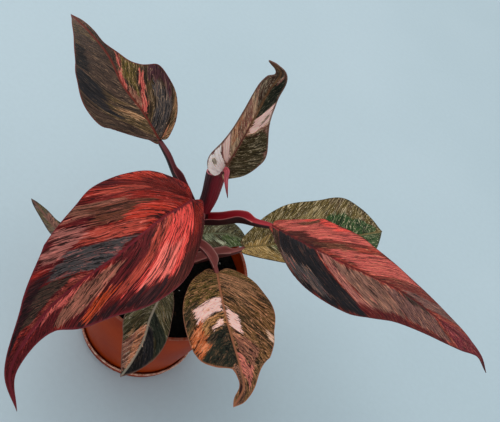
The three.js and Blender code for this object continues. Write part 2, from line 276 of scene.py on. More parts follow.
def points_of(obj):
    places = np.empty(3 * len(obj.data.vertices), np.float32)
    obj.data.vertices.foreach_get("co", places)
    return places.reshape(-1, 3).astype(float)


def move_points(obj, places):
    obj.data.vertices.foreach_set("co", np.asarray(places, np.float32).ravel())
    obj.data.update()


def apply_modifier(obj, kind, **settings):
    modifier = obj.modifiers.new(kind.title(), kind)
    for key, value in settings.items():
        setattr(modifier, key, value)
    bpy.context.view_layer.objects.active = obj
    bpy.ops.object.modifier_apply(modifier=modifier.name)


def weld(obj, distance=0.01 * MM, outward=True):
    """Joins the points that coincide, which closes seams and poles, and turns the faces outward."""
    bpy.context.view_layer.objects.active = obj
    bpy.ops.object.mode_set(mode="EDIT")
    bpy.ops.mesh.select_all(action="SELECT")
    bpy.ops.mesh.remove_doubles(threshold=distance)
    if outward:
        bpy.ops.mesh.normals_make_consistent(inside=False)
    bpy.ops.object.mode_set(mode="OBJECT")


def smooth(obj, angle=40):
    start()
    obj.select_set(True)
    bpy.context.view_layer.objects.active = obj
    bpy.ops.object.shade_smooth_by_angle(angle=math.radians(angle))


def finish_piece(obj, name, slot=None, nodes=()):
    obj.name = name
    obj.data.name = name
    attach(obj, "root")
    if nodes:
        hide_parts(*nodes)
    faces = sum(len(face.vertices) - 2 for face in obj.data.polygons)
    size = [round(side / MM, 1) for side in obj.dimensions]
    print(f"{name}: {faces} triangles, {size} mm")


# %% [markdown]
# ## A grid that takes any form
#
# A leaf, a stalk or a cane is a sheet or a tube that follows a curve. We start from a flat grid and move
# its points by a formula: place(x, y) takes two shares from 0 to 1. A tube is a grid whose two long sides
# meet, and welding closes it. The grid's own UV map keeps x and y, so a finish can follow the form.


# %% Shape a grid
def shaped_grid(columns, rows, place):
    start()
    bpy.ops.mesh.primitive_grid_add(x_subdivisions=columns, y_subdivisions=rows, size=1)
    grid = bpy.context.object
    flat = points_of(grid) + 0.5
    x = np.round(flat[:, 0] * columns) / columns
    y = np.round(flat[:, 1] * rows) / rows
    move_points(grid, place(x, y))
    grid.data.uv_layers[0].name = "Share"
    return grid


def add_map(obj, name, values):
    """A second UV map, worked out from the shares x and y at each face corner."""
    shares = np.empty(2 * len(obj.data.loops), np.float32)
    obj.data.uv_layers["Share"].data.foreach_get("uv", shares)
    x, y = shares.reshape(-1, 2).T.astype(float)
    layer = obj.data.uv_layers.new(name=name)
    layer.data.foreach_set("uv", np.stack(values(x, y), -1).astype(np.float32).ravel())


# %% [markdown]
# ## Curves
#
# The solids follow centripetal Catmull-Rom curves, so the finer pieces have to follow the very same ones.
# A Curve holds points close together on such a curve and gives the place and direction at any distance
# along it. The outline of a blade is a plain Catmull-Rom spline through its stations.


# %% Follow a curve
CURVE_SAMPLES = 60


def unit(vectors):
    return vectors / np.linalg.norm(vectors, axis=-1, keepdims=True)


class Curve:
    """A smooth line through points, measured by its length."""

    def __init__(self, points):
        points = np.array(points, float)
        first, last = 2 * points[0] - points[1], 2 * points[-1] - points[-2]
        padded = np.vstack([first, points, last])
        share = np.linspace(0, 1, CURVE_SAMPLES, endpoint=False)[:, None]
        line = [self.stretch(padded[i : i + 4], share) for i in range(len(points) - 1)]
        self.line = np.vstack([*line, points[-1:]])
        steps = np.linalg.norm(np.diff(self.line, axis=0), axis=1)
        self.lengths = np.concatenate([[0], np.cumsum(steps)])
        self.length = self.lengths[-1]
        self.slopes = np.gradient(self.line, self.lengths, axis=0)

    @staticmethod
    def stretch(four, share):
        p0, p1, p2, p3 = four
        d0, d1, d2 = np.sqrt(np.linalg.norm(np.diff(four, axis=0), axis=1))
        t1 = d1 * ((p1 - p0) / d0 - (p2 - p0) / (d0 + d1) + (p2 - p1) / d1)
        t2 = d1 * ((p2 - p1) / d1 - (p3 - p1) / (d1 + d2) + (p3 - p2) / d2)
        square = 3 * (p2 - p1) - 2 * t1 - t2
        cube = 2 * (p1 - p2) + t1 + t2
        return p1 + share * t1 + share**2 * square + share**3 * cube

    def at(self, distance, facing):
        """The place at a distance, with the ways along, up and to the side there."""
        read = lambda table: np.stack([np.interp(distance, self.lengths, axis) for axis in table.T], -1)
        along = unit(read(self.slopes))
        up = unit(facing - along * (along @ facing)[..., None])
        return read(self.line), along, up, np.cross(along, up)


def outline(points, share):
    """The place on a plain spline through points, at a share of their number."""
    points = np.array(points, float)
    last = len(points) - 1
    place = np.clip(share, 0, 1) * last
    first = np.minimum(place.astype(int), last - 1)
    t = (place - first)[:, None]
    p0, p1, p2, p3 = (points[np.clip(first + step, 0, last)] for step in (-1, 0, 1, 2))
    v1, v2 = (p2 - p0) / 2, (p3 - p1) / 2
    return p1 + t * v1 + t**2 * (3 * (p2 - p1) - 2 * v1 - v2) + t**3 * (2 * (p1 - p2) + v1 + v2)


print("a curve of three points is", round(Curve([(0, 0, 0), (1, 1, 0), (2, 0, 0)]).length, 3), "long")

# %% [markdown]
# ## The pot and its saucer
#
# Both are thin moulded plastic. They could be lathed from a profile, but starting from a cone keeps every
# step plain: take the top face, inset it by the wall, push it down inside, and round the edges with a
# bevel. The saucer's lip is painted pale, partly for scuffs and partly as a painted highlight where the lip
# catches the light. The pot's rim has a faint band of the same, and its wall has faint rings from its mould.

# %% Sizes of the pot and the saucer
SAUCER_LOW, SAUCER_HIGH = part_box("saucer")
POT_LOW, POT_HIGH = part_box("pot")
SIDES = 128
SAUCER_BASE = 46 * MM
SAUCER_WALL = 1.5 * MM
SAUCER_FLOOR = 1.8 * MM
POT_BASE = 44 * MM
POT_WALL = 1.6 * MM
POT_FLOOR = 2 * MM
RIM_WIDTH = 2.3 * MM
RIM_DEPTH = 3 * MM
DRAIN_RADIUS = 3.5 * MM
DRAIN_CIRCLE = 26 * MM
DRAIN_HOLES = 6
DRILL_LENGTH = 8 * MM
RIM_STEP = 0.3 * MM
SAUCER_ROUNDING = 0.55 * MM
POT_ROUNDING = 0.6 * MM
LEVEL = 0.01 * MM
print("rim", round(2 * POT_HIGH.x / MM), "mm across, at", round(POT_HIGH.z / MM), "mm")


# %% Plastic finish
def plastic_finish(name, lip_height, wear_and_highlight):
    """Terracotta-coloured plastic, paler near the given height of the lip: partly scuffs, which are also
    rougher, and partly a painted highlight where the lip catches the light.
    """
    pot = Finish(name)
    place = pot.place()
    z = pot.parts(place)[2]
    cloud = pot.noise(place, scale=28.0, detail=4)
    fine = pot.noise(place, scale=900.0, detail=2)
    rings = pot.noise(pot.vector(0.0, 0.0, z), scale=1400.0, detail=3)
    colour = pot.mix(paint("8e2a04"), paint("a43808"), pot.ramp(cloud, 0.3, 0.7))
    dust = pot.ramp(pot.noise(place, scale=160.0, detail=5, roughness=0.7), 0.52, 0.72)
    colour = pot.mix(colour, paint("b06a3c"), 0.1 * dust)
    near = pot.ramp(abs(z - lip_height), 1.2 * MM, 0.3 * MM)
    scuffs_and_glints = pot.ramp(pot.noise(place, scale=420.0, detail=5, roughness=0.75), 0.38, 0.6)
    worn_and_lit = near * (0.2 + 0.8 * scuffs_and_glints)
    # painted highlight and wear: near the lip the colour turns pale cream, partly for scuffs and partly for
    # the light that the lip catches
    colour = pot.mix(colour, paint("e4c4ae"), wear_and_highlight * worn_and_lit)
    height = 0.6 * rings + 0.5 * fine + 0.5 * scuffs_and_glints * near
    rough = 0.42 + 0.16 * cloud + 0.25 * worn_and_lit
    normal = pot.bump(height, 0.12 * MM)
    return pot.surface(Base_Color=colour, Roughness=rough, Normal=normal, Specular_IOR_Level=0.08)


# %% Model the saucer
def is_top(height):
    return lambda face: face.normal.z > 0.9 and abs(face.calc_center_median().z - height) < LEVEL


def level_edges(*heights):
    """Edges that lie level at one of the heights, and run round the piece."""

    def test(edge):
        a, b = (vertex.co for vertex in edge.verts)
        level = abs(a.z - b.z) < LEVEL
        round_edge = (a - b).length < 8 * MM and min(a.xy.length, b.xy.length) > 20 * MM
        return level and round_edge and any(abs(a.z - height) < 2 * LEVEL for height in heights)

    return test


def sink(depth, narrow):
    """Pushes the picked face down by depth and scales it, as the inside of a vessel narrows."""
    bpy.ops.mesh.extrude_region_move(TRANSFORM_OT_translate={"value": (0, 0, -depth)})
    bpy.ops.transform.resize(value=(narrow, narrow, 1))


def vessel(low_radius, high_radius, bottom, top):
    start()
    middle = (bottom + top) / 2
    height = top - bottom
    bpy.ops.mesh.primitive_cone_add(
        vertices=SIDES, radius1=low_radius, radius2=high_radius, depth=height, location=(0, 0, middle)
    )
    obj = bpy.context.object
    bpy.ops.object.transform_apply(location=True)
    bpy.ops.object.mode_set(mode="EDIT")
    return obj


saucer = vessel(SAUCER_BASE, SAUCER_HIGH.x, 0, SAUCER_HIGH.z)
pick("faces", is_top(SAUCER_HIGH.z))
bpy.ops.mesh.inset(thickness=SAUCER_WALL)
sink(SAUCER_HIGH.z - SAUCER_FLOOR, (SAUCER_BASE - SAUCER_WALL) / (SAUCER_HIGH.x - SAUCER_WALL))
pick("edges", level_edges(0, SAUCER_HIGH.z))
bpy.ops.mesh.bevel(offset=SAUCER_ROUNDING, segments=3)
bpy.ops.object.mode_set(mode="OBJECT")
smooth(saucer)
# the saucer's lip: a strong pale band, scuffs and painted highlight
saucer.data.materials.append(plastic_finish("scuffed_and_highlit_saucer_plastic", SAUCER_HIGH.z, wear_and_highlight=0.9))
finish_piece(saucer, "round_saucer", "pot_plastic", ["saucer"])

# %% Model the pot
pot = vessel(POT_BASE, POT_HIGH.x, POT_LOW.z, POT_HIGH.z)
pick("faces", is_top(POT_HIGH.z))
bpy.ops.mesh.inset(thickness=RIM_WIDTH)
sink(RIM_DEPTH, 1.0)
inner = POT_HIGH.x - RIM_WIDTH
under_rim = POT_HIGH.x - POT_WALL - RIM_DEPTH * (POT_HIGH.x - POT_BASE) / (POT_HIGH.z - POT_LOW.z)
floor_radius = POT_BASE - POT_WALL
bpy.ops.mesh.extrude_region_move(TRANSFORM_OT_translate={"value": (0, 0, -RIM_STEP)})
bpy.ops.transform.resize(value=(under_rim / inner, under_rim / inner, 1))
sink(POT_HIGH.z - RIM_DEPTH - RIM_STEP - POT_LOW.z - POT_FLOOR, floor_radius / under_rim)
pick("edges", level_edges(POT_LOW.z, POT_HIGH.z))
bpy.ops.mesh.bevel(offset=POT_ROUNDING, segments=3)
bpy.ops.object.mode_set(mode="OBJECT")

# %% Drill the drainage holes
start()
for hole in range(DRAIN_HOLES):
    turn = math.tau * hole / DRAIN_HOLES
    place = (DRAIN_CIRCLE * math.cos(turn), DRAIN_CIRCLE * math.sin(turn), POT_LOW.z)
    bpy.ops.mesh.primitive_cylinder_add(vertices=32, radius=DRAIN_RADIUS, depth=DRILL_LENGTH, location=place)
    drill = bpy.context.object
    apply_modifier(pot, "BOOLEAN", operation="DIFFERENCE", object=drill, solver="EXACT")
    bpy.data.objects.remove(drill)
smooth(pot)
# the pot's rim: a faint pale band, scuffs and painted highlight
pot.data.materials.append(plastic_finish("pot_plastic_wall", POT_HIGH.z, wear_and_highlight=0.2))
finish_piece(pot, "tapered_pot", "pot_plastic", ["pot"])

# %% [markdown]
# ## Soil
#
# Potting mix is dark and crumbly: a lumpy bed with loose crumbs, slivers of bark and pale perlite on top.
# Its colour is near-black, partly its own dark colour and partly painted shade from the leaves above it.
# The bed is a grid turned round the pot's axis and roughened by noise. A crumb is an icosphere knocked
# out of round, copied a few hundred times with a fixed seed, because loose grains lie without order.

# %% Shape the bed of soil
SOIL_LOW, SOIL_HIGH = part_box("soil")
SOIL_EDGE = 87 * MM
SOIL_CROWN = 90 * MM
SOIL_GAP = 0.3 * MM
SOIL_MARGIN = 3 * MM


def pot_inside(height):
    share = (height - POT_LOW.z) / (POT_HIGH.z - POT_LOW.z)
    return POT_BASE + share * (POT_HIGH.x - POT_BASE) - POT_WALL - SOIL_GAP


SOIL_REACH = pot_inside(SOIL_EDGE)


def soil_height(x, y):
    """The height of the soil's surface: a low crown, two sizes of lump and a grainy skin."""
    away = min(1.0, math.hypot(x, y) / SOIL_REACH)
    crown = SOIL_EDGE + (SOIL_CROWN - SOIL_EDGE) * (1 - away**2)
    lumps = 1.1 * noise.noise(Vector((x, y, 0)) / (14 * MM)) + 0.7 * noise.noise(Vector((x, y, 3)) / (5 * MM))
    grains = 0.45 * noise.noise(Vector((x / MM, y / MM, 9)) / 1.8)
    return crown + (lumps + grains) * MM * (1 - 0.5 * away**6)


def soil_place(x, y):
    turn = math.tau * x
    radius = np.interp(y, [0, 0.1, 0.2, 1], [0, pot_inside(SOIL_LOW.z), SOIL_REACH, 0])
    px, py = radius * np.cos(turn), radius * np.sin(turn)
    top = np.array([soil_height(a, b) for a, b in zip(px, py)])
    wall = np.interp(y, [0.1, 0.2], [SOIL_LOW.z, SOIL_EDGE])
    return np.stack([px, py, np.where(y < 0.199, wall, top)], -1)


soil = shaped_grid(160, 100, soil_place)
weld(soil)
smooth(soil, 60)


# %% Soil finish
def soil_finish(name, dark, light):
    soil = Finish(name)
    place = soil.place()
    grain = soil.noise(place, scale=700.0, detail=4, roughness=0.7)
    patch = soil.noise(place, scale=90.0, detail=2)
    colour = soil.mix(paint(dark), paint(light), soil.ramp(grain, 0.42, 0.75))
    colour = soil.scaled(colour, 0.6 + 0.9 * patch)
    normal = soil.bump(grain, 0.5 * MM)
    return soil.surface(Base_Color=colour, Roughness=0.95, Normal=normal, Specular_IOR_Level=0.1)


# painted shade: the potting mix is made near-black, partly its own dark colour and partly the shade of the
# leaves above
SOIL_DARK = soil_finish("near_black_shaded_potting_mix", "040302", "120d0a")
BARK = soil_finish("bark_slivers", "1c120c", "3c281a")
PERLITE = soil_finish("pale_perlite", "b9b4aa", "e4e0d8")
soil.data.materials.append(SOIL_DARK)
finish_piece(soil, "soil_bed", "potting_soil", ["soil"])


# %% Scatter the crumbs
def grain_shape(seed, stretch):
    """An icosphere of 80 faces with its points knocked in and out."""
    start()
    bpy.ops.mesh.primitive_ico_sphere_add(subdivisions=2, radius=0.5)
    grain = bpy.context.object
    places = points_of(grain)
    knocks = [0.75 + 0.9 * noise.noise(Vector(place) * 2.2 + Vector((seed, 0, 0))) for place in places]
    move_points(grain, places * np.array(knocks)[:, None] * np.array(stretch))
    return grain


def scatter(name, material, count, sizes, stretch, seed, slot=None):
    """Copies of one grain, sunk a little into the soil, joined as one piece."""
    draw = random.Random(seed)
    model = grain_shape(seed, stretch)
    copies = []
    for _ in range(count):
        away = (SOIL_REACH - SOIL_MARGIN) * math.sqrt(draw.random())
        turn = math.tau * draw.random()
        x, y = away * math.cos(turn), away * math.sin(turn)
        size = draw.uniform(*sizes) * MM
        copy = model.copy()
        copy.data = model.data.copy()
        bpy.context.collection.objects.link(copy)
        spin = Matrix.Rotation(math.tau * draw.random(), 4, "Z")
        spin = spin @ Matrix.Rotation(draw.uniform(-0.5, 0.5), 4, "X")
        lift = Matrix.Translation((x, y, soil_height(x, y) + 0.1 * size))
        copy.data.transform(lift @ spin @ Matrix.Scale(size, 4))
        copies.append(copy)
    bpy.data.objects.remove(model)
    start()
    for copy in copies:
        copy.select_set(True)
    bpy.context.view_layer.objects.active = copies[0]
    bpy.ops.object.join()
    grains = bpy.context.object
    grains.data.materials.append(material)
    smooth(grains, 50)
    finish_piece(grains, name, slot)


scatter("soil_crumbs", SOIL_DARK, 420, (1.6, 4.2), (1, 0.9, 0.7), 11, "potting_soil")
scatter("bark_slivers", BARK, 70, (4, 8), (1, 0.35, 0.25), 23, "potting_soil")
scatter("perlite_grains", PERLITE, 34, (0.8, 1.8), (1, 0.9, 0.8), 41)

# %% [markdown]
# ## Stalk finish
#
# Petioles, sheaths and the cane are smooth and fleshy, with thin pale lines along the wings' edges. Their
# colour is painted light and shade: maroon below and brighter red on top, where the light falls. The map
# named Rib says where we are on a stalk: its first number is 1 on a wing's edge, and its second runs from
# -1 underneath to 1 on top.


# %% Stalk finish
def stalk_finish(name, low, high, lip):
    stalk = Finish(name)
    around, along, _ = stalk.map("Share")
    edge, height, _ = stalk.map("Rib")
    lines = stalk.noise(stalk.vector(22.0 * around, 3.0 * along, 1.0), detail=4, roughness=0.6)
    blotch = stalk.noise(stalk.place(), scale=120.0, detail=3)
    # painted light and shade: maroon underneath, turning brighter red towards the top by the Rib map
    colour = stalk.mix(paint(low), paint(high), stalk.ramp(height + 0.3 * blotch, 0.5, 0.9))
    colour = stalk.scaled(colour, 0.62 + 0.76 * lines)
    colour = stalk.mix(colour, paint(lip), 0.75 * stalk.ramp(edge, 0.78, 0.98))
    height = 0.6 * lines + 0.25 * blotch
    normal = stalk.bump(height, 0.25 * MM)
    rough = 0.36 + 0.2 * blotch
    return stalk.surface(Base_Color=colour, Roughness=rough, Normal=normal, Specular_IOR_Level=0.3)


# %% [markdown]
# ## Cane
#
# The cane is a stubby stem, ringed where old leaves were, and mostly hidden between the petioles. It is a
# tube grid along the same curve as the solid, with a scar ring at each joint and a rounded top.

# %% Grow the cane
CANE_POINTS = [[0, 0, 52], [0, 0, 88], [1, 0, 108], [0, 1, 128], [2, 2, 148], [2, 3, 166]]
CANE_RADII = (6.4, 5.2)
CANE_JOINT = 15
FORWARD = np.array([0.0, -1.0, 0.0])
UPWARD = np.array([0.0, 0.0, 1.0])


def tube_place(curve, facing, radius_at, flat=1.0):
    """A tube along a curve, round or flattened, closed to a point at both ends."""

    def place(x, y):
        distance = y * curve.length
        origin, _, up, side = curve.at(distance, facing)
        closing = np.sqrt(np.clip(1 - (2 * y - 1) ** 40, 0, 1))
        radius = radius_at(x, distance) * closing
        turn = math.tau * x
        across, rise = radius * np.cos(turn), flat * radius * np.sin(turn)
        return (origin + side * across[:, None] + up * rise[:, None]) * MM

    return place


def cane_radius(x, distance):
    share = distance / cane_curve.length
    swell = 0.5 * np.cos(math.tau * distance / CANE_JOINT)
    scar = 0.35 * np.exp(-(((distance / CANE_JOINT) % 1 - 0.06) / 0.03) ** 2)
    flutes = 0.12 * np.cos(9 * math.tau * x + 0.3 * distance)
    return np.interp(share, [0, 1], CANE_RADII) + swell + scar + flutes


def stalk_map(x, y):
    """Rib for a plain tube: no wing edges, and top and bottom told by the turn round it."""
    return 0 * x, np.sin(math.tau * x)


cane_curve = Curve(CANE_POINTS)
cane = shaped_grid(48, 200, tube_place(cane_curve, FORWARD, cane_radius))
add_map(cane, "Rib", stalk_map)
weld(cane)
smooth(cane, 60)
cane.data.materials.append(stalk_finish("cane_skin", "2c1012", "5a2226", "7a3c3a"))
finish_piece(cane, "short_cane", "stem_maroon", ["stem"])

# %% [markdown]
# ## The leaves' measures
#
# Every leaf is written down the same way, in millimetres. The midrib runs from the top of the petiole to
# the tip. A station is a distance along the midrib with the blade's half-width to the left and right.
# Folds are how far each half rises, in degrees, and wave is the ripple of its edge. Sweep says how sharply
# the veins turn to the tip. The petiole has a path, a radius, and wings: wing is their height, spread is
# how far they lean outward, and end is the share of the petiole where they stop.
#
# The colours come next. Stalk holds the petiole's dark colour for its underside, its light colour for its
# top, painted as if lit, and its edge colour. Ground is the pair of colours that a leaf has where no patch
# lies. Rib and edge colour the midrib and the rim, fleck is the colour of the pale specks and how many
# there are, and shade is how dark the fine streaks are. Marble lists cloudy veins of colour with their
# level and their gain in brightness. Fray is how ragged the patches' edges are. Lean tilts the patches of
# the left and right halves: below 0 their outer ends lie nearer the tip, and above 0 nearer the base.
#
# A patch is a colour with its reach across the blade, from -1 at the left edge to 1 at the right one, and
# its reach along the edge, from 0 at the petiole to 1 at the tip. Later patches lie over earlier ones.
# Plain names for colours make such a list easier to read than codes, so a palette comes first.

# %% Name the leaves' colours
PALETTE = {
    "ink": "120c0c", "charcoal": "161418", "smoke": "403a3a", "slate": "5c4e4a", "stone": "a49684",
    "black_maroon": "240c10", "dark_maroon": "42140f", "maroon": "500e12", "wine": "70202a", "plum": "402228",
    "deep_crimson": "66150f", "crimson": "841c12", "scarlet": "a42c1c", "brick": "a23c2e",
    "rust": "a63816", "russet": "702820", "chestnut": "5c3020", "coral": "d6443c", "salmon": "e86c60",
    "rose": "b85048", "dusky_pink": "c4685c", "dusty_rose": "985850", "shell": "fff0ea", "blush": "f4c6bc",
    "peach": "e6b89c", "apricot": "cc8c66", "orange": "b4582c", "clay": "b47050", "sienna": "845040",
    "taupe": "7a5448", "mauve": "6c4842", "umber": "382820", "cocoa": "54382c", "bronze": "4a3820",
    "tawny": "74502c", "tan": "8c6444", "ochre": "a47444", "sand": "c09a78", "cream": "dcc8a4",
    "gold": "987840", "khaki": "78663e", "olive": "58481c", "dark_olive": "38301a", "olive_black": "20241a",
    "moss": "3c4a20", "green": "24401a", "grey_olive": "50482e", "sage": "62664c", "pale_sage": "989a80",
}
print(len(PALETTE), "colours in the palette")


def tint(name):
    return paint(PALETTE[name])


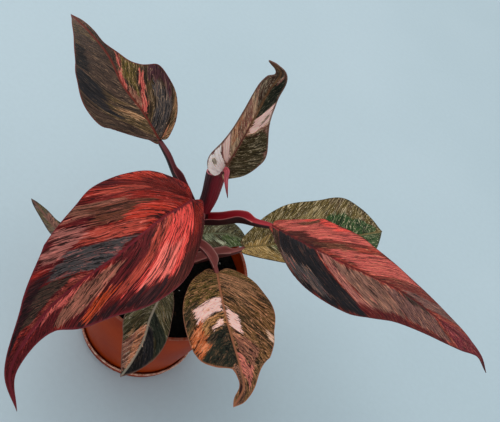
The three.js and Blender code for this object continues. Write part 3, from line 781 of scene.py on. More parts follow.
# %% Write down the leaves
LEAVES = {
    "front_left_leaf": {
        "node": "leaf_front_left",
        "slot": "leaf_red",
        "midrib": [
            [-4, -24, 200], [-12, -57, 206], [-18, -81, 200], [-29, -103, 182],
            [-36, -118, 162], [-35, -142, 135], [-21, -152, 118],
        ],
        "facing": [0, -0.1, 1],
        "folds": [10, 10],
        "wave": (1.2, 3.5),
        "stations": [
            [-5, 4, 8], [3, 11, 19], [18, 21, 29], [44, 34, 36], [62, 35, 35],
            [80, 28, 32], [98, 22, 24], [122, 9, 11], [148, 4, 4],
        ],
        "petiole": {
            "path": [[2, -2, 146], [3, -11, 164], [1, -18, 184]],
            "radius": 2.6, "wing": 4, "spread": 0.4, "end": 0.75,
        },
        "stalk": ("3a1014", "7c2228", "b06a60"),
        "sweep": 4,
        "ground": ("maroon", "crimson"),
        "rib": "wine",
        "edge": "wine",
        "fleck": ("dusky_pink", 0.3),
        "shade": 0.8,
        "marble": [("rose", 0.6, 0.2), ("dark_maroon", 0.56, -0.5)],
        "fray": 15,
        "patches": [
            ("crimson", -0.55, -0.12, 0.12, 0.38), ("deep_crimson", 0.15, 0.85, 0.1, 0.4),
            ("dark_maroon", -1, -0.8, 0.14, 0.28), ("dark_maroon", -1, -0.72, 0.28, 0.42),
            ("scarlet", 0.76, 0.97, 0.13, 0.3), ("coral", -0.84, -0.04, 0.405, 0.53),
            ("salmon", -0.82, -0.52, 0.435, 0.5), ("brick", -0.75, -0.06, 0.52, 0.575),
            ("black_maroon", -1, -0.86, 0.42, 0.62), ("maroon", -0.8, -0.05, 0.57, 0.65),
            ("rust", -0.9, -0.62, 0.575, 0.62), ("sienna", -0.88, -0.2, 0.63, 0.71),
            ("rose", -0.52, -0.14, 0.705, 0.8), ("wine", -0.36, -0.1, 0.78, 0.9),
            ("maroon", -1, -0.5, 0.72, 0.9), ("crimson", 0.0, 0.7, 0.39, 0.5),
            ("brick", 0.55, 0.85, 0.35, 0.4), ("sienna", 0.62, 1, 0.43, 0.5),
            ("chestnut", 0.36, 0.8, 0.46, 0.54), ("scarlet", 0.04, 0.42, 0.48, 0.59),
            ("brick", 0.12, 0.72, 0.555, 0.605), ("dusty_rose", 0.74, 0.98, 0.52, 0.63),
            ("smoke", 0.05, 0.78, 0.605, 0.685), ("umber", 0.3, 0.95, 0.69, 0.8),
            ("russet", 0.04, 0.3, 0.69, 0.82), ("black_maroon", 0.76, 1, 0.66, 0.86),
            ("maroon", -1, 1, 0.86, 1),
        ],
    },
    "right_leaf": {
        "node": "leaf_right",
        "slot": "leaf_red",
        "midrib": [
            [45, 2, 190], [71, -3, 198], [109, 6, 194], [136, 16, 187],
            [179, 29, 169], [206, 37, 156], [220, 39, 149], [231, 36, 141],
        ],
        "facing": [0, -0.1, 1],
        "folds": [-8, -8],
        "wave": (1, 3),
        "stations": [
            [-1, 5, 2.5], [5, 12.5, 6], [11, 19, 11], [20, 24.5, 17], [34, 27, 26], [60, 29, 30],
            [76, 25, 27], [101, 18, 21], [128, 14, 16], [152, 10, 12], [170, 7, 8.5],
            [182, 3.8, 4.6], [190, 1.9, 2.3], [199, 1, 1.2],
        ],
        "petiole": {
            "path": [[1, 2, 153], [8, 3, 157], [16, 3, 165], [25, 4, 175], [35, 2, 183]],
            "radius": 2.6, "wing": 4.6, "spread": 0.4, "end": 0.68,
        },
        "stalk": ("2a060a", "9c1424", "d08078"),
        "sweep": 4,
        "lean": [-0.05, 0],
        "ground": ("russet", "brick"),
        "rib": "maroon",
        "edge": "maroon",
        "fleck": ("apricot", 0.35),
        "shade": 0.75,
        "marble": [("dusky_pink", 0.60, 0.15), ("dark_maroon", 0.57, -0.45)],
        "fray": 11,
        "patches": [
            ("rose", -1, -0.1, 0.012, 0.352), ("coral", -1, -0.78, 0.056, 0.276),
            ("chestnut", -0.92, -0.5, 0.109, 0.154), ("dark_maroon", -0.3, 0, 0.253, 0.412),
            ("chestnut", -0.6, -0.16, 0.365, 0.42), ("rose", -1, -0.14, 0.411, 0.572),
            ("russet", -1, -0.05, 0.584, 0.664), ("mauve", -0.95, -0.1, 0.664, 0.764),
            ("umber", 0.1, 1, 0.05, 0.2), ("charcoal", 0, 1, 0.2, 0.41),
            ("smoke", 0.48, 0.84, 0.2, 0.33), ("dusty_rose", 0, 0.9, 0.415, 0.455),
            ("taupe", 0.08, 0.9, 0.455, 0.6), ("taupe", 0.3, 0.66, 0.47, 0.57),
            ("maroon", 0.86, 1, 0.4, 0.76), ("mauve", 0.12, 0.86, 0.6, 0.8),
            ("umber", -0.08, 0.2, 0.68, 0.77), ("wine", -1, 1, 0.82, 0.96),
            ("black_maroon", -1, 1, 0.965, 1),
        ],
    },
    "back_left_leaf": {
        "node": "leaf_back_left",
        "slot": "leaf_dark",
        "midrib": [
            [-44, 10, 192], [-62, 18, 197], [-82, 26, 199], [-104, 44, 197], [-131, 66, 186], [-160, 91, 168],
        ],
        "facing": [0.1, -0.35, 1],
        "folds": [5, 30],
        "wave": (1.2, 3.5),
        "stations": [
            [-2, 2.5, 5], [4, 7.5, 14], [13, 18.5, 21], [24, 27.5, 26], [38, 29.5, 26], [50, 27, 16],
            [62, 25, 9], [84, 19, 3], [106, 12, 3], [128, 6, 2.4], [140, 2.4, 1.2],
        ],
        "petiole": {
            "path": [[1, 2, 150], [-8, 3, 162], [-18, 3, 173], [-26, 4, 181], [-34, 6, 188]],
            "radius": 2.3, "wing": 3.6, "spread": 0.4, "end": 0.6,
        },
        "stalk": ("240a0e", "58181f", "a05a58"),
        "sweep": 3,
        "lean": [-0.08, 0],
        "ground": ("umber", "bronze"),
        "rib": "russet",
        "edge": "russet",
        "fleck": ("sand", 0.65),
        "shade": 0.8,
        "marble": [("taupe", 0.59, 0.2), ("ink", 0.57, -0.4)],
        "fray": 14,
        "patches": [
            ("umber", -1, -0.1, 0, 0.296), ("bronze", -0.75, -0.05, 0.288, 0.368),
            ("tan", -0.5, -0.15, 0.339, 0.374), ("charcoal", -1, -0.55, 0.308, 0.42),
            ("umber", -1, 0, 0.42, 0.6), ("ink", -1, -0.72, 0.43, 0.6),
            ("umber", -0.8, -0.1, 0.604, 0.724), ("clay", 0.2, 0.5, 0.03, 0.18),
            ("tan", 0.5, 0.96, 0.04, 0.2), ("bronze", 0.5, 0.78, 0.11, 0.19),
            ("smoke", 0.04, 0.78, 0.22, 0.34), ("plum", 0.8, 1, 0.24, 0.36),
            ("rose", 0.04, 0.84, 0.378, 0.403), ("sienna", 0.04, 0.4, 0.41, 0.47),
            ("olive", 0.34, 0.94, 0.415, 0.52), ("rose", 0.06, 0.34, 0.47, 0.55),
            ("rose", 0.56, 0.92, 0.52, 0.55), ("umber", 0, 1, 0.56, 0.76),
            ("cocoa", -1, 1, 0.84, 1),
        ],
    },
    "young_leaf": {
        "node": "leaf_young_upright",
        "slot": "leaf_pink",
        "midrib": [
            [2, -4, 212], [3, -3, 238], [3.2, -3, 262], [3, -1.5, 282],
            [4.2, -2, 295], [1, -4.5, 299], [-3.5, -8, 302],
        ],
        "facing": [0, -1, 0.2],
        "folds": [45, 30],
        "wave": (0.6, 2.5),
        "stations": [
            [-3, 4, 3], [3, 10.5, 7], [15, 14.5, 14], [28, 11.5, 18], [40, 9.5, 18.5], [54, 8.5, 10.5],
            [66, 8, 8], [76, 7.5, 6.5], [82, 6, 5], [87, 2, 2.2], [92, 0.9, 1],
        ],
        "petiole": {
            "path": [[2, 3, 167], [1.5, 3, 184], [-0.5, 1.5, 200], [0, -1, 207]],
            "radius": 3.4, "wing": 0, "end": 0,
        },
        "stalk": ("6a2c30", "c08078", "d8a8a0"),
        "sweep": 3.5,
        "ground": ("dusty_rose", "sand"),
        "rib": "tan",
        "edge": "cocoa",
        "fleck": ("cream", 0.8),
        "shade": 0.55,
        "marble": [("cream", 0.59, 0.1), ("bronze", 0.57, -0.4)],
        "fray": 9,
        "patches": [
            ("shell", -1, 0, 0.0, 0.35), ("stone", -0.78, -0.54, 0.235, 0.28),
            ("blush", -1, -0.05, 0.35, 0.45), ("clay", -1, -0.5, 0.48, 0.6),
            ("sienna", -0.7, -0.3, 0.56, 0.74), ("cocoa", -1, 0.1, 0.8, 0.9),
            ("dark_olive", 0.02, 1, 0.1, 0.61), ("khaki", 0.5, 1, 0.14, 0.22),
            ("blush", 0.2, 1, 0.63, 0.735), ("cocoa", 0.74, 0.88, 0.66, 0.69),
            ("olive_black", 0.1, 1, 0.745, 0.9), ("umber", -1, 1, 0.91, 1),
        ],
    },
    "back_right_leaf": {
        "node": "leaf_back_right",
        "slot": "leaf_olive",
        "midrib": [[39, 16, 140], [63, 31, 152], [93, 58, 155], [121, 94, 148]],
        "facing": [0, 0, 1],
        "folds": [8, 8],
        "wave": (1, 3),
        "stations": [
            [-3, 5, 4], [6, 14, 9], [18, 23, 14], [34, 29, 20], [54, 30, 25],
            [76, 32, 24], [96, 29, 15], [107, 21, 8], [113, 11, 3.5], [116, 3, 1],
        ],
        "petiole": {
            "path": [[0, 1, 94], [8, 5, 99], [15, 9, 106], [24, 12, 118], [33, 13, 131]],
            "radius": 2.1, "wing": 4.4, "spread": 0.7, "end": 0.75,
        },
        "stalk": ("5c2a26", "8c4a44", "b08478"),
        "sweep": 1.8,
        "ground": ("olive", "bronze"),
        "rib": "khaki",
        "edge": "dark_olive",
        "fleck": ("cream", 0.65),
        "shade": 0.7,
        "marble": [("khaki", 0.59, 0.2), ("dark_olive", 0.56, -0.45)],
        "fray": 12,
        "patches": [
            ("gold", -0.2, 1, 0.0, 0.36), ("olive", -1, -0.2, 0.1, 0.3),
            ("olive", -1, -0.55, 0.24, 0.46), ("khaki", -0.8, -0.2, 0.5, 0.68),
            ("green", -0.62, 1, 0.7, 0.97), ("moss", 0.0, 1, 0.4, 0.72),
        ],
    },
    "front_oval_leaf": {
        "node": "leaf_front_oval",
        "slot": "leaf_olive",
        "midrib": [
            [32, -8, 130], [40, -21, 133], [51, -35, 133], [64, -45, 127],
            [77, -52, 117], [87, -57, 105], [88, -68, 96],
        ],
        "facing": [0, -0.3, 1],
        "folds": [10, 10],
        "wave": (1, 3),
        "stations": [
            [-3, 7, 6], [4, 17, 14], [14, 24, 22], [28, 30, 28], [42, 31, 29],
            [53, 28, 26], [61, 26, 17], [68, 21, 6], [77, 12, 3.5], [86, 6.5, 3], [94, 4, 2.8],
        ],
        "petiole": {
            "path": [[1, 2, 120], [7, 3, 127], [14, 1, 132], [22, -3, 134]],
            "radius": 1.9, "wing": 4.4, "spread": 0.6, "end": 0.7,
        },
        "stalk": ("5c2426", "8a4440", "c8968c"),
        "sweep": 1.5,
        "lean": [-0.08, 0.12],
        "ground": ("bronze", "tawny"),
        "rib": "clay",
        "edge": "clay",
        "fleck": ("apricot", 0.95),
        "shade": 0.9,
        "marble": [("clay", 0.57, 0.35), ("dark_olive", 0.57, -0.45)],
        "fray": 7,
        "patches": [
            ("olive", -1, -0.3, 0, 0.188), ("tan", -0.75, -0.04, 0.208, 0.468),
            ("tawny", -1, -0.6, 0.356, 0.506), ("blush", -0.3, -0.04, 0.57, 0.655),
            ("peach", -1, -0.88, 0.52, 0.57), ("sienna", -0.7, -0.1, 0.66, 0.75),
            ("dusky_pink", -0.7, 0, 0.752, 0.852), ("olive", 0.04, 1, 0.202, 0.552),
            ("dark_olive", 0.6, 1, 0.496, 0.566), ("blush", 0.02, 0.7, 0.53, 0.6),
            ("orange", 0.6, 1, 0.59, 0.695), ("ochre", 0.06, 0.66, 0.603, 0.65),
            ("blush", 0.14, 0.5, 0.638, 0.658), ("olive_black", 0.03, 0.7, 0.66, 0.83),
            ("olive_black", 0.5, 1, 0.695, 0.83), ("taupe", 0, 1, 0.84, 0.9),
            ("cocoa", -1, 1, 0.88, 0.95), ("black_maroon", -1, 1, 0.95, 1),
        ],
    },
    "front_small_leaf": {
        "node": "leaf_front_small",
        "slot": "leaf_olive",
        "midrib": [
            [7, -35, 121], [9, -46, 120], [11, -58, 117], [15, -71, 112], [16, -84, 104], [15, -91, 93],
        ],
        "facing": [0, -0.3, 1],
        "folds": [10, 10],
        "wave": (0.6, 2.5),
        "stations": [
            [-3, 4, 5], [4, 8.5, 11], [17, 13, 15], [30, 14.5, 16], [44, 12, 12], [55, 6.5, 6.5], [63, 2, 2],
        ],
        "petiole": {
            "path": [[0, -1, 102], [3, -10, 108], [6, -22, 117]], "radius": 1.7, "wing": 2, "end": 0.5,
        },
        "stalk": ("4c2024", "74383c", "a87870"),
        "sweep": 2,
        "ground": ("dark_olive", "grey_olive"),
        "rib": "stone",
        "edge": "taupe",
        "fleck": ("stone", 0.6),
        "shade": 0.75,
        "marble": [("tan", 0.6, 0.3), ("ink", 0.57, -0.4)],
        "fray": 8,
        "patches": [
            ("grey_olive", -1, 0, 0.0, 0.57), ("olive_black", -1, -0.02, 0.58, 0.7),
            ("charcoal", -1, -0.02, 0.7, 0.82), ("ink", -1, -0.02, 0.82, 0.97),
            ("grey_olive", 0, 1, 0.0, 0.59), ("dark_olive", 0.28, 0.95, 0.56, 0.69),
            ("tan", 0.68, 0.84, 0.635, 0.675), ("clay", 0.02, 0.62, 0.69, 0.94),
            ("sienna", 0.6, 1, 0.7, 0.95), ("ink", -1, 1, 0.96, 1),
        ],
    },
    "back_small_leaf": {
        "node": "leaf_back_small",
        "slot": "leaf_grey_green",
        "midrib": [[4, 24, 109], [14, 31, 115], [26, 38, 117], [36, 42, 114], [42, 46, 109]],
        "facing": [0, 0, 1],
        "folds": [8, 8],
        "wave": (0.5, 2.5),
        "stations": [[-3, 4, 4], [4, 9, 10], [14, 11, 13], [25, 11, 13], [35, 7, 8]],
        "petiole": {"path": [[0, 2, 93], [0, 9, 98], [1, 17, 105]], "radius": 1.6, "wing": 1.6, "end": 0.5},
        "stalk": ("4c2c28", "70483c", "9c8070"),
        "sweep": 1.2,
        "ground": ("dark_olive", "grey_olive"),
        "rib": "sage",
        "edge": "grey_olive",
        "fleck": ("pale_sage", 0.7),
        "shade": 0.65,
        "marble": [("sage", 0.60, 0.2), ("olive_black", 0.57, -0.4)],
        "fray": 10,
        "patches": [
            ("sage", 0.05, 0.55, 0.38, 0.56), ("pale_sage", 0.55, 0.75, 0.52, 0.57),
            ("moss", 0.2, 1, 0.6, 0.86),
        ],
    },
    "left_narrow_leaf": {
        "node": "leaf_left_narrow",
        "slot": "leaf_olive",
        "midrib": [
            [-32, -30, 130], [-45, -45, 134], [-61, -48, 133],
            [-72, -46, 130], [-85, -39, 126], [-100, -30, 119],
        ],
        "facing": [0, -0.2, 1],
        "folds": [8, 8],
        "wave": (0.8, 2.5),
        "stations": [
            [-4, 6, 6], [5, 13, 13], [20, 14, 14], [36, 8, 8], [50, 4.6, 4.6], [64, 3.2, 3.2], [76, 1.6, 1.6],
        ],
        "petiole": {
            "path": [[0, 0, 97], [-9, -7, 104], [-19, -17, 118]], "radius": 1.8, "wing": 2.4, "end": 0.5,
        },
        "stalk": ("4c2422", "74403a", "a07c70"),
        "sweep": 2,
        "ground": ("grey_olive", "slate"),
        "rib": "taupe",
        "edge": "umber",
        "fleck": ("tan", 0.5),
        "shade": 0.6,
        "marble": [("tan", 0.6, 0.2), ("umber", 0.58, -0.3)],
        "fray": 10,
        "patches": [
            ("bronze", -1, -0.1, 0.0, 0.5), ("taupe", 0.1, 0.8, 0.5, 0.8),
            ("ink", -1, 1, 0.93, 1),
        ],
    },
}
print(len(LEAVES), "leaves with", sum(len(leaf["patches"]) for leaf in LEAVES.values()), "patches")

# %% [markdown]
# ## From a flat leaf to a bent one
#
# A Blade turns a place on the leaf laid flat, across and along in millimetres, into its place on the bent
# leaf. Its rows are veins: each leaves the midrib, swings to the tip and meets the edge. Between veins the
# blade is a little puffed, as a fleshy leaf is, so each vein lies in a fine groove.

# %% Bend a blade
BLADE_THICKNESS = 0.7
VEIN_SPACING = 3.4
VEIN_BEND = 1.3
VEIN_GROOVE = 0.1
RIB_GROOVE = 0.45
RIB_WIDTH = 1.1
FIRST_SWEEP = 0.5
MIDRIB_CROWDING = 1.7
OUTLINE_SAMPLES = 801


class Blade:
    def __init__(self, leaf):
        self.curve = Curve(leaf["midrib"])
        self.length = self.curve.length
        self.facing = np.array(leaf["facing"], float)
        self.folds = np.radians(leaf["folds"])
        self.wave = leaf["wave"]
        self.widest = max(max(left, right) for _, left, right in leaf["stations"])
        ends = np.array([[0, 0, 0], *leaf["stations"], [self.length, 0, 0]], float)
        share = np.linspace(0, 1, OUTLINE_SAMPLES)
        self.left = outline(ends[:, [1, 0]], share)
        self.right = outline(ends[:, [2, 0]], share)
        across, along = ((self.left + self.right) / 2).T
        sweep = np.interp(along / self.length, [0, 1], [FIRST_SWEEP, leaf["sweep"]])
        self.origin = np.maximum.accumulate(np.maximum(along - sweep * across, 0))
        step = sum(np.linalg.norm(np.diff(edge, axis=0), axis=1) for edge in (self.left, self.right)) / 2
        travelled = np.concatenate([[0], np.cumsum(step)])
        self.edge_length = travelled[-1]
        self.travelled = travelled / self.edge_length
        self.veins = round(self.edge_length / VEIN_SPACING)

    def vein_phase(self, vein, sine=np.sin):
        """Counts the veins along the edge, unevenly spaced, in numbers or as nodes of a finish."""
        turns = math.tau * self.veins
        drift = 0.4 * sine(vein * (turns / 5.3)) + 0.3 * sine(vein * (turns / 3.1) + 1.0)
        return vein * float(self.veins) + drift

    def read(self, table, vein):
        return np.interp(vein, self.travelled, table)

    def flat(self, reach, vein):
        """Across and along on the flat leaf, and how far the edge is, for a reach from -1 to 1."""
        left = reach < 0
        wide = np.where(left, self.read(self.left[:, 0], vein), self.read(self.right[:, 0], vein))
        wide = np.maximum(wide, 0)
        end = np.where(left, self.read(self.left[:, 1], vein), self.read(self.right[:, 1], vein))
        begin = self.read(self.origin, vein)
        along = begin + (end - begin) * np.abs(reach) ** VEIN_BEND
        return reach * wide, along, (1 - np.abs(reach)) * wide

    def bend(self, across, along, depth=0.0):
        """The place on the bent leaf, depth below its upper face."""
        share = np.clip(along / self.length, 0, 1)
        origin, forward, up, side = self.curve.at(share * self.length, self.facing)
        left = across < 0
        fold = np.where(left, *self.folds)
        height, count = self.wave
        ripple = height * np.sin(math.tau * count * share + np.where(left, 0, 1))
        rise = np.abs(across) * np.sin(fold) + ripple * (across / self.widest) ** 2 - depth
        past = (along - share * self.length)[..., None]
        return origin + forward * past + side * (across * np.cos(fold))[..., None] + up * rise[..., None]

    def place(self, x, y):
        """The upper face for the grid's shares, with the midrib and the veins pressed in."""
        reach = reach_of(x)
        across, along, gap = self.flat(reach, y)
        from_vein = np.abs((self.vein_phase(y) + 0.5) % 1 - 0.5) * 2
        inland = np.clip(np.abs(across) / 6, 0, 1) * np.clip(gap / 4, 0, 1)
        groove = np.exp(-((from_vein / 0.35) ** 2)) * inland
        tip_fade = np.clip((self.length - along) / 25, 0, 1)
        rib = np.exp(-((across / RIB_WIDTH) ** 2)) * tip_fade
        return self.bend(across, along, VEIN_GROOVE * groove + RIB_GROOVE * rib) * MM

    def rib_map(self, x, y):
        """Millimetres from the midrib and from the edge."""
        across, _, gap = self.flat(reach_of(x), y)
        return across, gap


def reach_of(x):
    """Reach across the blade for the grid's share, with the columns crowded at the midrib."""
    reach = 2 * x - 1
    return np.sign(reach) * np.abs(reach) ** MIDRIB_CROWDING


def vein_map(x, y):
    return reach_of(x), y


blades = {name: Blade(leaf) for name, leaf in LEAVES.items()}
print({name: (round(blade.length), blade.veins) for name, blade in blades.items()})

# %% [markdown]
# ## Leaf finish
#
# Variegation is painted in the leaf's own coordinates. The map named Vein holds the reach across and the
# share along the edge, so a patch is a box there, and on the bent leaf it becomes a sector between two
# veins. All the noise is longer along the veins than across them. Wobble bends the streaks a little, so
# that none is ruled straight. Broad, streak and thread noise fray the patches, and marble clouds them.
# Pale flecks and dark streaks go over that: lively holds the flecks back on near-black patches, and calm
# holds the streaks back on pale ones. The vein lines, the midrib and the edge come last. The underside
# has the same pattern with a plain dull colour mixed in, and is rougher.

# %% Leaf finish
STREAK_WIDTH = 1.1
THREAD_WIDTH = 0.5
SPECK_WIDTH = 0.75
MARBLE_WIDTH = 2.4
BROAD_WIDTH = 7.0
WOBBLE_WIDTH = 4.0
WOBBLE_REACH = 5.0
LEAF_GLOSS = 0.12
UNDERSIDE = "7c5c54"
MEAN_WIDTH = 0.7


def vein_noise(skin, reach, vein, blade, width, stretch, layer, detail=2, roughness=0.55):
    """Noise of streaks, width millimetres wide and stretch times as long, along the veins."""
    across = reach * (MEAN_WIDTH * blade.widest / (width * stretch))
    along = vein * (blade.edge_length / width)
    return skin.noise(skin.vector(across, along, layer), detail=detail, roughness=roughness)


def leaf_finish(name, leaf, blade, upper):
    skin = Finish(f"{name}_{'upper' if upper else 'under'}_skin")
    reach, vein, _ = skin.map("Vein")
    across, gap, _ = skin.map("Rib")
    size = blade.edge_length
    layer = float(sum(map(ord, name)) % 97) + skin.math("SIGN", reach) * 7.0
    phase = blade.vein_phase(vein, lambda angle: skin.math("SINE", angle))
    left_lean, right_lean = leaf.get("lean", (0, 0))
    on_left = skin.math("MINIMUM", reach, 0.0) * -left_lean
    on_right = skin.math("MAXIMUM", reach, 0.0) * right_lean
    vein = vein + on_left + on_right
    wobble = vein_noise(skin, reach, vein, blade, WOBBLE_WIDTH, 1.6, layer + 1.0, 3)
    waved = vein + (WOBBLE_REACH / size) * (wobble - 0.5)
    streak = vein_noise(skin, reach, waved, blade, STREAK_WIDTH, 6, layer, 3, 0.7)
    thread = vein_noise(skin, reach, waved, blade, THREAD_WIDTH, 12, layer + 3.0)
    broad = vein_noise(skin, reach, vein, blade, BROAD_WIDTH, 2, layer + 5.0, 3)
    speck = vein_noise(skin, reach, waved, blade, SPECK_WIDTH, 2.6, layer + 9.0, 2, 0.7)

    low, high = leaf["ground"]
    colour = skin.mix(tint(low), tint(high), skin.ramp(broad, 0.38, 0.62))
    fray = leaf["fray"] * (0.5 * streak + 0.8 * broad - 0.65) + 6.0 * (thread - 0.5)
    wide = MEAN_WIDTH * blade.widest
    for colour_name, left, right, first, last in leaf["patches"]:
        beside = ((right - left) / 2 - abs(reach - (left + right) / 2)) * wide
        before = ((last - first) / 2 - abs(vein - (first + last) / 2)) * size
        inside = skin.ramp(skin.math("MINIMUM", beside, before) + fray, -0.4, 0.4)
        colour = skin.mix(colour, tint(colour_name), inside)
    bright = skin.node("ShaderNodeRGBToBW", None, {"Color": colour})
    lively = 0.15 + 0.85 * skin.ramp(bright, 0.008, 0.06)
    calm = 1 - 0.75 * skin.ramp(bright, 0.3, 0.6)
    for number, (vein_colour, level, gain) in enumerate(leaf["marble"]):
        marble = vein_noise(skin, reach, waved, blade, MARBLE_WIDTH, 4.5, layer + 20.0 + number, 4, 0.65)
        marbled = skin.ramp(marble, level, level + 0.04) * (lively * calm)
        colour = skin.scaled(skin.mix(colour, tint(vein_colour), 0.35 * marbled), 1 + gain * marbled)

    fleck, amount = leaf["fleck"]
    flecked = skin.ramp(speck, 0.70 - 0.12 * amount, 0.74 - 0.12 * amount)
    threaded = skin.ramp(thread, 0.64 - 0.06 * amount, 0.70)
    streaked = skin.ramp(streak, 0.575, 0.62)
    pale = skin.math("MAXIMUM", 0.9 * flecked, 0.6 * threaded)
    pale = skin.math("MAXIMUM", pale, (0.15 + 0.35 * amount) * streaked)
    colour = skin.mix(colour, tint(fleck), pale * lively)
    shade = leaf["shade"]
    dark = skin.ramp(streak, 0.475, 0.415) * shade + skin.ramp(thread, 0.45, 0.39) * (0.7 * shade)
    dark = dark * calm
    lift = 1.4 + 0.5 * (broad - 0.5) + 0.4 * streaked
    colour = skin.scaled(colour, lift * (1 - skin.math("MINIMUM", dark, 0.93)))

    line = skin.ramp(skin.math("PINGPONG", phase, 0.5), 0.14, 0.0) * skin.ramp(abs(across), 0.5, 5.0)
    colour = skin.scaled(colour, 1 - 0.16 * line)
    ribbed = skin.ramp(abs(across) + 0.5 * (streak - 0.5), 0.95, 0.4)
    colour = skin.mix(colour, tint(leaf["rib"]), 0.8 * ribbed)
    edged = skin.ramp(gap + 0.8 * broad, 1.0, 0.45)
    colour = skin.mix(colour, tint(leaf["edge"]), 0.75 * edged)
    if not upper:
        colour = skin.mix(colour, paint(UNDERSIDE), 0.35)
    height = 0.8 * streak + 0.5 * thread - 0.5 * line
    rough = (0.4 if upper else 0.55) + 0.2 * streak
    normal = skin.bump(height, 0.3 * MM)
    return skin.surface(Base_Color=colour, Roughness=rough, Normal=normal, Specular_IOR_Level=LEAF_GLOSS)


# %% [markdown]
# ## Petioles
#
# A petiole is round below and channelled above, and its base opens into two thin wings, the sheath that
# once held the next leaf. The section is a ring of points, swept along the same curve as the solid. It
# runs on under the blade as the midrib's keel, and thins towards the tip.

# %% Shape a petiole
WING_THICKNESS = 0.9
KEEL_RADIUS = 1.25
KEEL_UNDER_BLADE = 9
KEEL_POINTS = 12
KEEL_DEPTH = 1.35
KEEL_RISE = 0.7
JOINT_DEPTH = 1.36
PETIOLE_ROWS = 90


def smoothstep(low, high, value):
    share = np.clip((value - low) / (high - low), 0, 1)
    return share * share * (3 - 2 * share)


def petiole_section(radius, wing, spread):
    """The section's corners, one column of arrays each, round from the right wing's edge."""
    outer = 0.95 * radius + spread * wing
    inner = outer - np.minimum(WING_THICKNESS, 0.4 * radius)
    top = 0.6 * radius + wing * (1 - 0.3 * spread)
    across = [outer, inner, 0.42 * radius, 0 * radius, -0.42 * radius, -inner, -outer]
    rise = [top, top, 0.5 * radius, 0.4 * radius, 0.5 * radius, top, top]
    for degrees in (165, 205, 240, 270, 300, 335, 375):
        turn = math.radians(degrees)
        across.append(radius * math.cos(turn))
        rise.append(radius * math.sin(turn))
    return np.array([*across, across[0]]), np.array([*rise, rise[0]])


SECTION_CORNERS = 14
WING_EDGES = (0, 1, 5, 6)


def petiole(leaf, blade):
    measures = leaf["petiole"]
    radius, wing, wing_end = measures["radius"], measures["wing"], measures["end"]
    under = lambda along, depth: blade.bend(np.array([0.0]), np.array([along]), depth)[0]
    joint = [under(along, JOINT_DEPTH) for along in (0, KEEL_UNDER_BLADE / 2, KEEL_UNDER_BLADE)]
    keel_ends = np.linspace(0.2, 0.96, KEEL_POINTS)
    keel = [under(share * blade.length, KEEL_DEPTH - KEEL_RISE * share) for share in keel_ends]
    curve = Curve([*measures["path"], *joint, *keel])
    own_length = curve.lengths[(len(measures["path"]) + 2) * CURVE_SAMPLES]
    base, top = np.array(measures["path"][0], float), np.array(leaf["midrib"][0], float)
    leaning = np.linalg.norm((top - base)[:2]) > 2 * radius
    facing = UPWARD if leaning else blade.facing

    def place(x, y):
        distance = y * curve.length
        share = distance / own_length
        beyond = np.clip((distance - own_length) / (curve.length - own_length), 0, 1)
        slender = radius + (KEEL_RADIUS - radius) * smoothstep(0.7, 1, share)
        slender = slender * (1 - 0.8 * beyond)
        shoulder = smoothstep(0.86 * wing_end, wing_end + 0.02, share) if wing else 1
        height = wing * (1 - shoulder) * (1 - 0.25 * share)
        origin, _, up, side = curve.at(distance, facing)
        across, rise = petiole_section(slender, height, measures.get("spread", 0.2))
        corner = np.round(x * SECTION_CORNERS).astype(int)
        column = np.arange(len(x))
        closing = np.where((y == 0) | (y == 1), 0, 1)
        across, rise = across[corner, column] * closing, rise[corner, column] * closing
        return (origin + side * across[:, None] + up * rise[:, None]) * MM

    def rib_map(x, y):
        corner = np.round(x * SECTION_CORNERS).astype(int) % SECTION_CORNERS
        share = y * curve.length / own_length
        winged = (share < wing_end) & (wing > 0)
        heights = np.array([0.3, 1, 0.9, 0.6, 0.9, 1, 0.3, 0.2, -0.4, -0.85, -1, -0.85, -0.4, 0.2])
        return np.isin(corner, WING_EDGES) * winged, heights[corner]

    stalk = shaped_grid(SECTION_CORNERS, PETIOLE_ROWS, place)
    add_map(stalk, "Rib", rib_map)
    add_map(stalk, "Vein", lambda x, y: (x, y))
    weld(stalk)
    apply_modifier(stalk, "SUBSURF", levels=1, render_levels=1)
    return stalk


# %% [markdown]
# ## Grow the leaves
#
# The blade is a grid shaped by its Blade, given thickness by a Solidify modifier, whose second face takes
# the underside's finish. Blade and petiole are then joined, because a leaf is one piece. The blade's seam
# is welded at a far smaller distance than other seams, because many of its rows begin close together.

# %% Grow the leaves
ROW_SPACING = 0.72
BLADE_SEAM = 0.0005 * MM
HALF_COLUMNS = 30


def grow(name, leaf):
    blade = blades[name]
    rows = round(blade.edge_length / ROW_SPACING)
    sheet = shaped_grid(2 * HALF_COLUMNS, rows, blade.place)
    add_map(sheet, "Vein", vein_map)
    add_map(sheet, "Rib", blade.rib_map)
    weld(sheet, distance=BLADE_SEAM, outward=False)
    sheet.data.materials.append(leaf_finish(name, leaf, blade, upper=True))
    sheet.data.materials.append(leaf_finish(name, leaf, blade, upper=False))
    solid = {"thickness": BLADE_THICKNESS * MM, "offset": -1, "material_offset": 1, "material_offset_rim": 1}
    apply_modifier(sheet, "SOLIDIFY", **solid)
    stalk = petiole(leaf, blade)
    stalk.data.materials.append(stalk_finish(f"{name}_stalk", *leaf["stalk"]))
    smooth(stalk, 70)
    smooth(sheet, 70)
    stalk.select_set(True)
    bpy.ops.object.join()
    finish_piece(sheet, name, leaf["slot"], [leaf["node"]])


for leaf_name, leaf in LEAVES.items():
    grow(leaf_name, leaf)

# %% [markdown]
# ## The young leaf's sheath
#
# The newest leaf stands in an open sheath, a maroon tube with a slit down one side and a cut-looking top.
# A sheet bent round the leaf's stalk and thickened gives it.

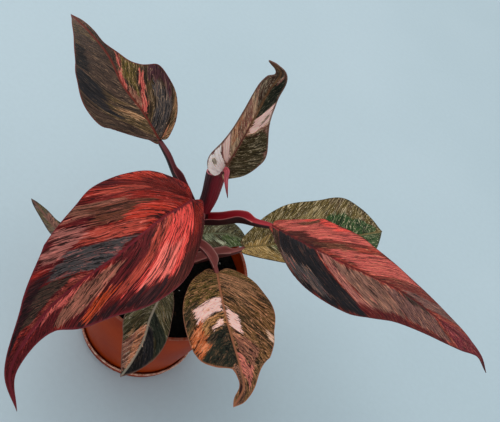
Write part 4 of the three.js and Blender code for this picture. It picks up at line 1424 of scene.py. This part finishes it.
# %% Roll the sheath
SHEATH_POINTS = [[2, 3, 167], [1.5, 3, 180], [-1, 2, 200], [-1.5, 1.5, 206]]
SHEATH_RADII = (4.0, 5.4)
SHEATH_WALL = 0.9
SHEATH_RISE = (4.0, 1.6)
SLIT_ANGLE = -65
SLIT_WIDTH = 50

sheath_curve = Curve(SHEATH_POINTS)


def sheath_place(x, y):
    origin, along, up, side = sheath_curve.at(y * sheath_curve.length, FORWARD)
    turn = np.radians(SLIT_ANGLE + SLIT_WIDTH / 2 + (360 - SLIT_WIDTH) * x)
    ridges = 0.12 * np.cos(34 * math.pi * x) * smoothstep(0, 0.2, y)
    radius = np.interp(y, [0, 1], SHEATH_RADII) + ridges
    across, rise = radius * np.cos(turn), radius * np.sin(turn)
    cut = (SHEATH_RISE[0] * np.cos(turn) + SHEATH_RISE[1] * np.sin(turn)) * y**3
    return (origin + along * cut[:, None] + side * across[:, None] + up * rise[:, None]) * MM


sheath = shaped_grid(96, 60, sheath_place)
add_map(sheath, "Rib", lambda x, y: (smoothstep(0.985, 1, y), np.sin(math.tau * x)))
apply_modifier(sheath, "SOLIDIFY", thickness=SHEATH_WALL * MM, offset=-1)
smooth(sheath, 50)
sheath.data.materials.append(stalk_finish("young_sheath_skin", "3c0810", "74101e", "b05860"))
finish_piece(sheath, "young_sheath", "stem_maroon", ["young_leaf_sheath"])

# %% [markdown]
# ## The withered spike
#
# The red spike beside the sheath is what wrapped the leaf before it opened, dried to a thread. It is a
# flattened tube along a curve that hooks over, tapered by a table of widths, and darker towards its end.

# %% Hook the withered spike
SPIKE_POINTS = [
    [5.9, -0.5, 205], [5.5, -6, 215], [3.5, -10, 222.5], [4.8, -11.5, 223.5],
    [6.9, -11, 216], [10, -10.5, 208.5], [12.9, -10, 202],
]
SPIKE_WIDTH = 1.6
SPIKE_FLAT = 0.3
SPIKE_FACING = np.array([0.2, -0.7, 0.7])

spike_curve = Curve(SPIKE_POINTS)


def spike_radius(x, distance):
    share = distance / spike_curve.length
    width = np.interp(share, [0, 0.1, 0.4, 0.55, 0.8, 1], [0.5, 0.8, 1, 0.95, 0.55, 0.1])
    return SPIKE_WIDTH * width * (1 + 0.08 * np.cos(5 * math.tau * x))


def spike_finish():
    spike = Finish("withered_spike_skin")
    around, along, _ = spike.map("Share")
    lines = spike.noise(spike.vector(14.0 * around, 5.0 * along, 0.0), detail=3)
    colour = spike.mix(paint("b8303e"), paint("e4707a"), spike.ramp(lines, 0.35, 0.7))
    colour = spike.mix(colour, paint("8c1c20"), spike.ramp(along, 0.7, 0.88))
    colour = spike.mix(colour, paint("180c0c"), spike.ramp(along, 0.9, 0.99))
    return spike.surface(Base_Color=colour, Roughness=0.45, Normal=spike.bump(lines, 0.2 * MM))


spike = shaped_grid(20, 90, tube_place(spike_curve, SPIKE_FACING, spike_radius, SPIKE_FLAT))
weld(spike)
smooth(spike, 60)
spike.data.materials.append(spike_finish())
finish_piece(spike, "red_spike", "spike_red", ["withered_spike"])
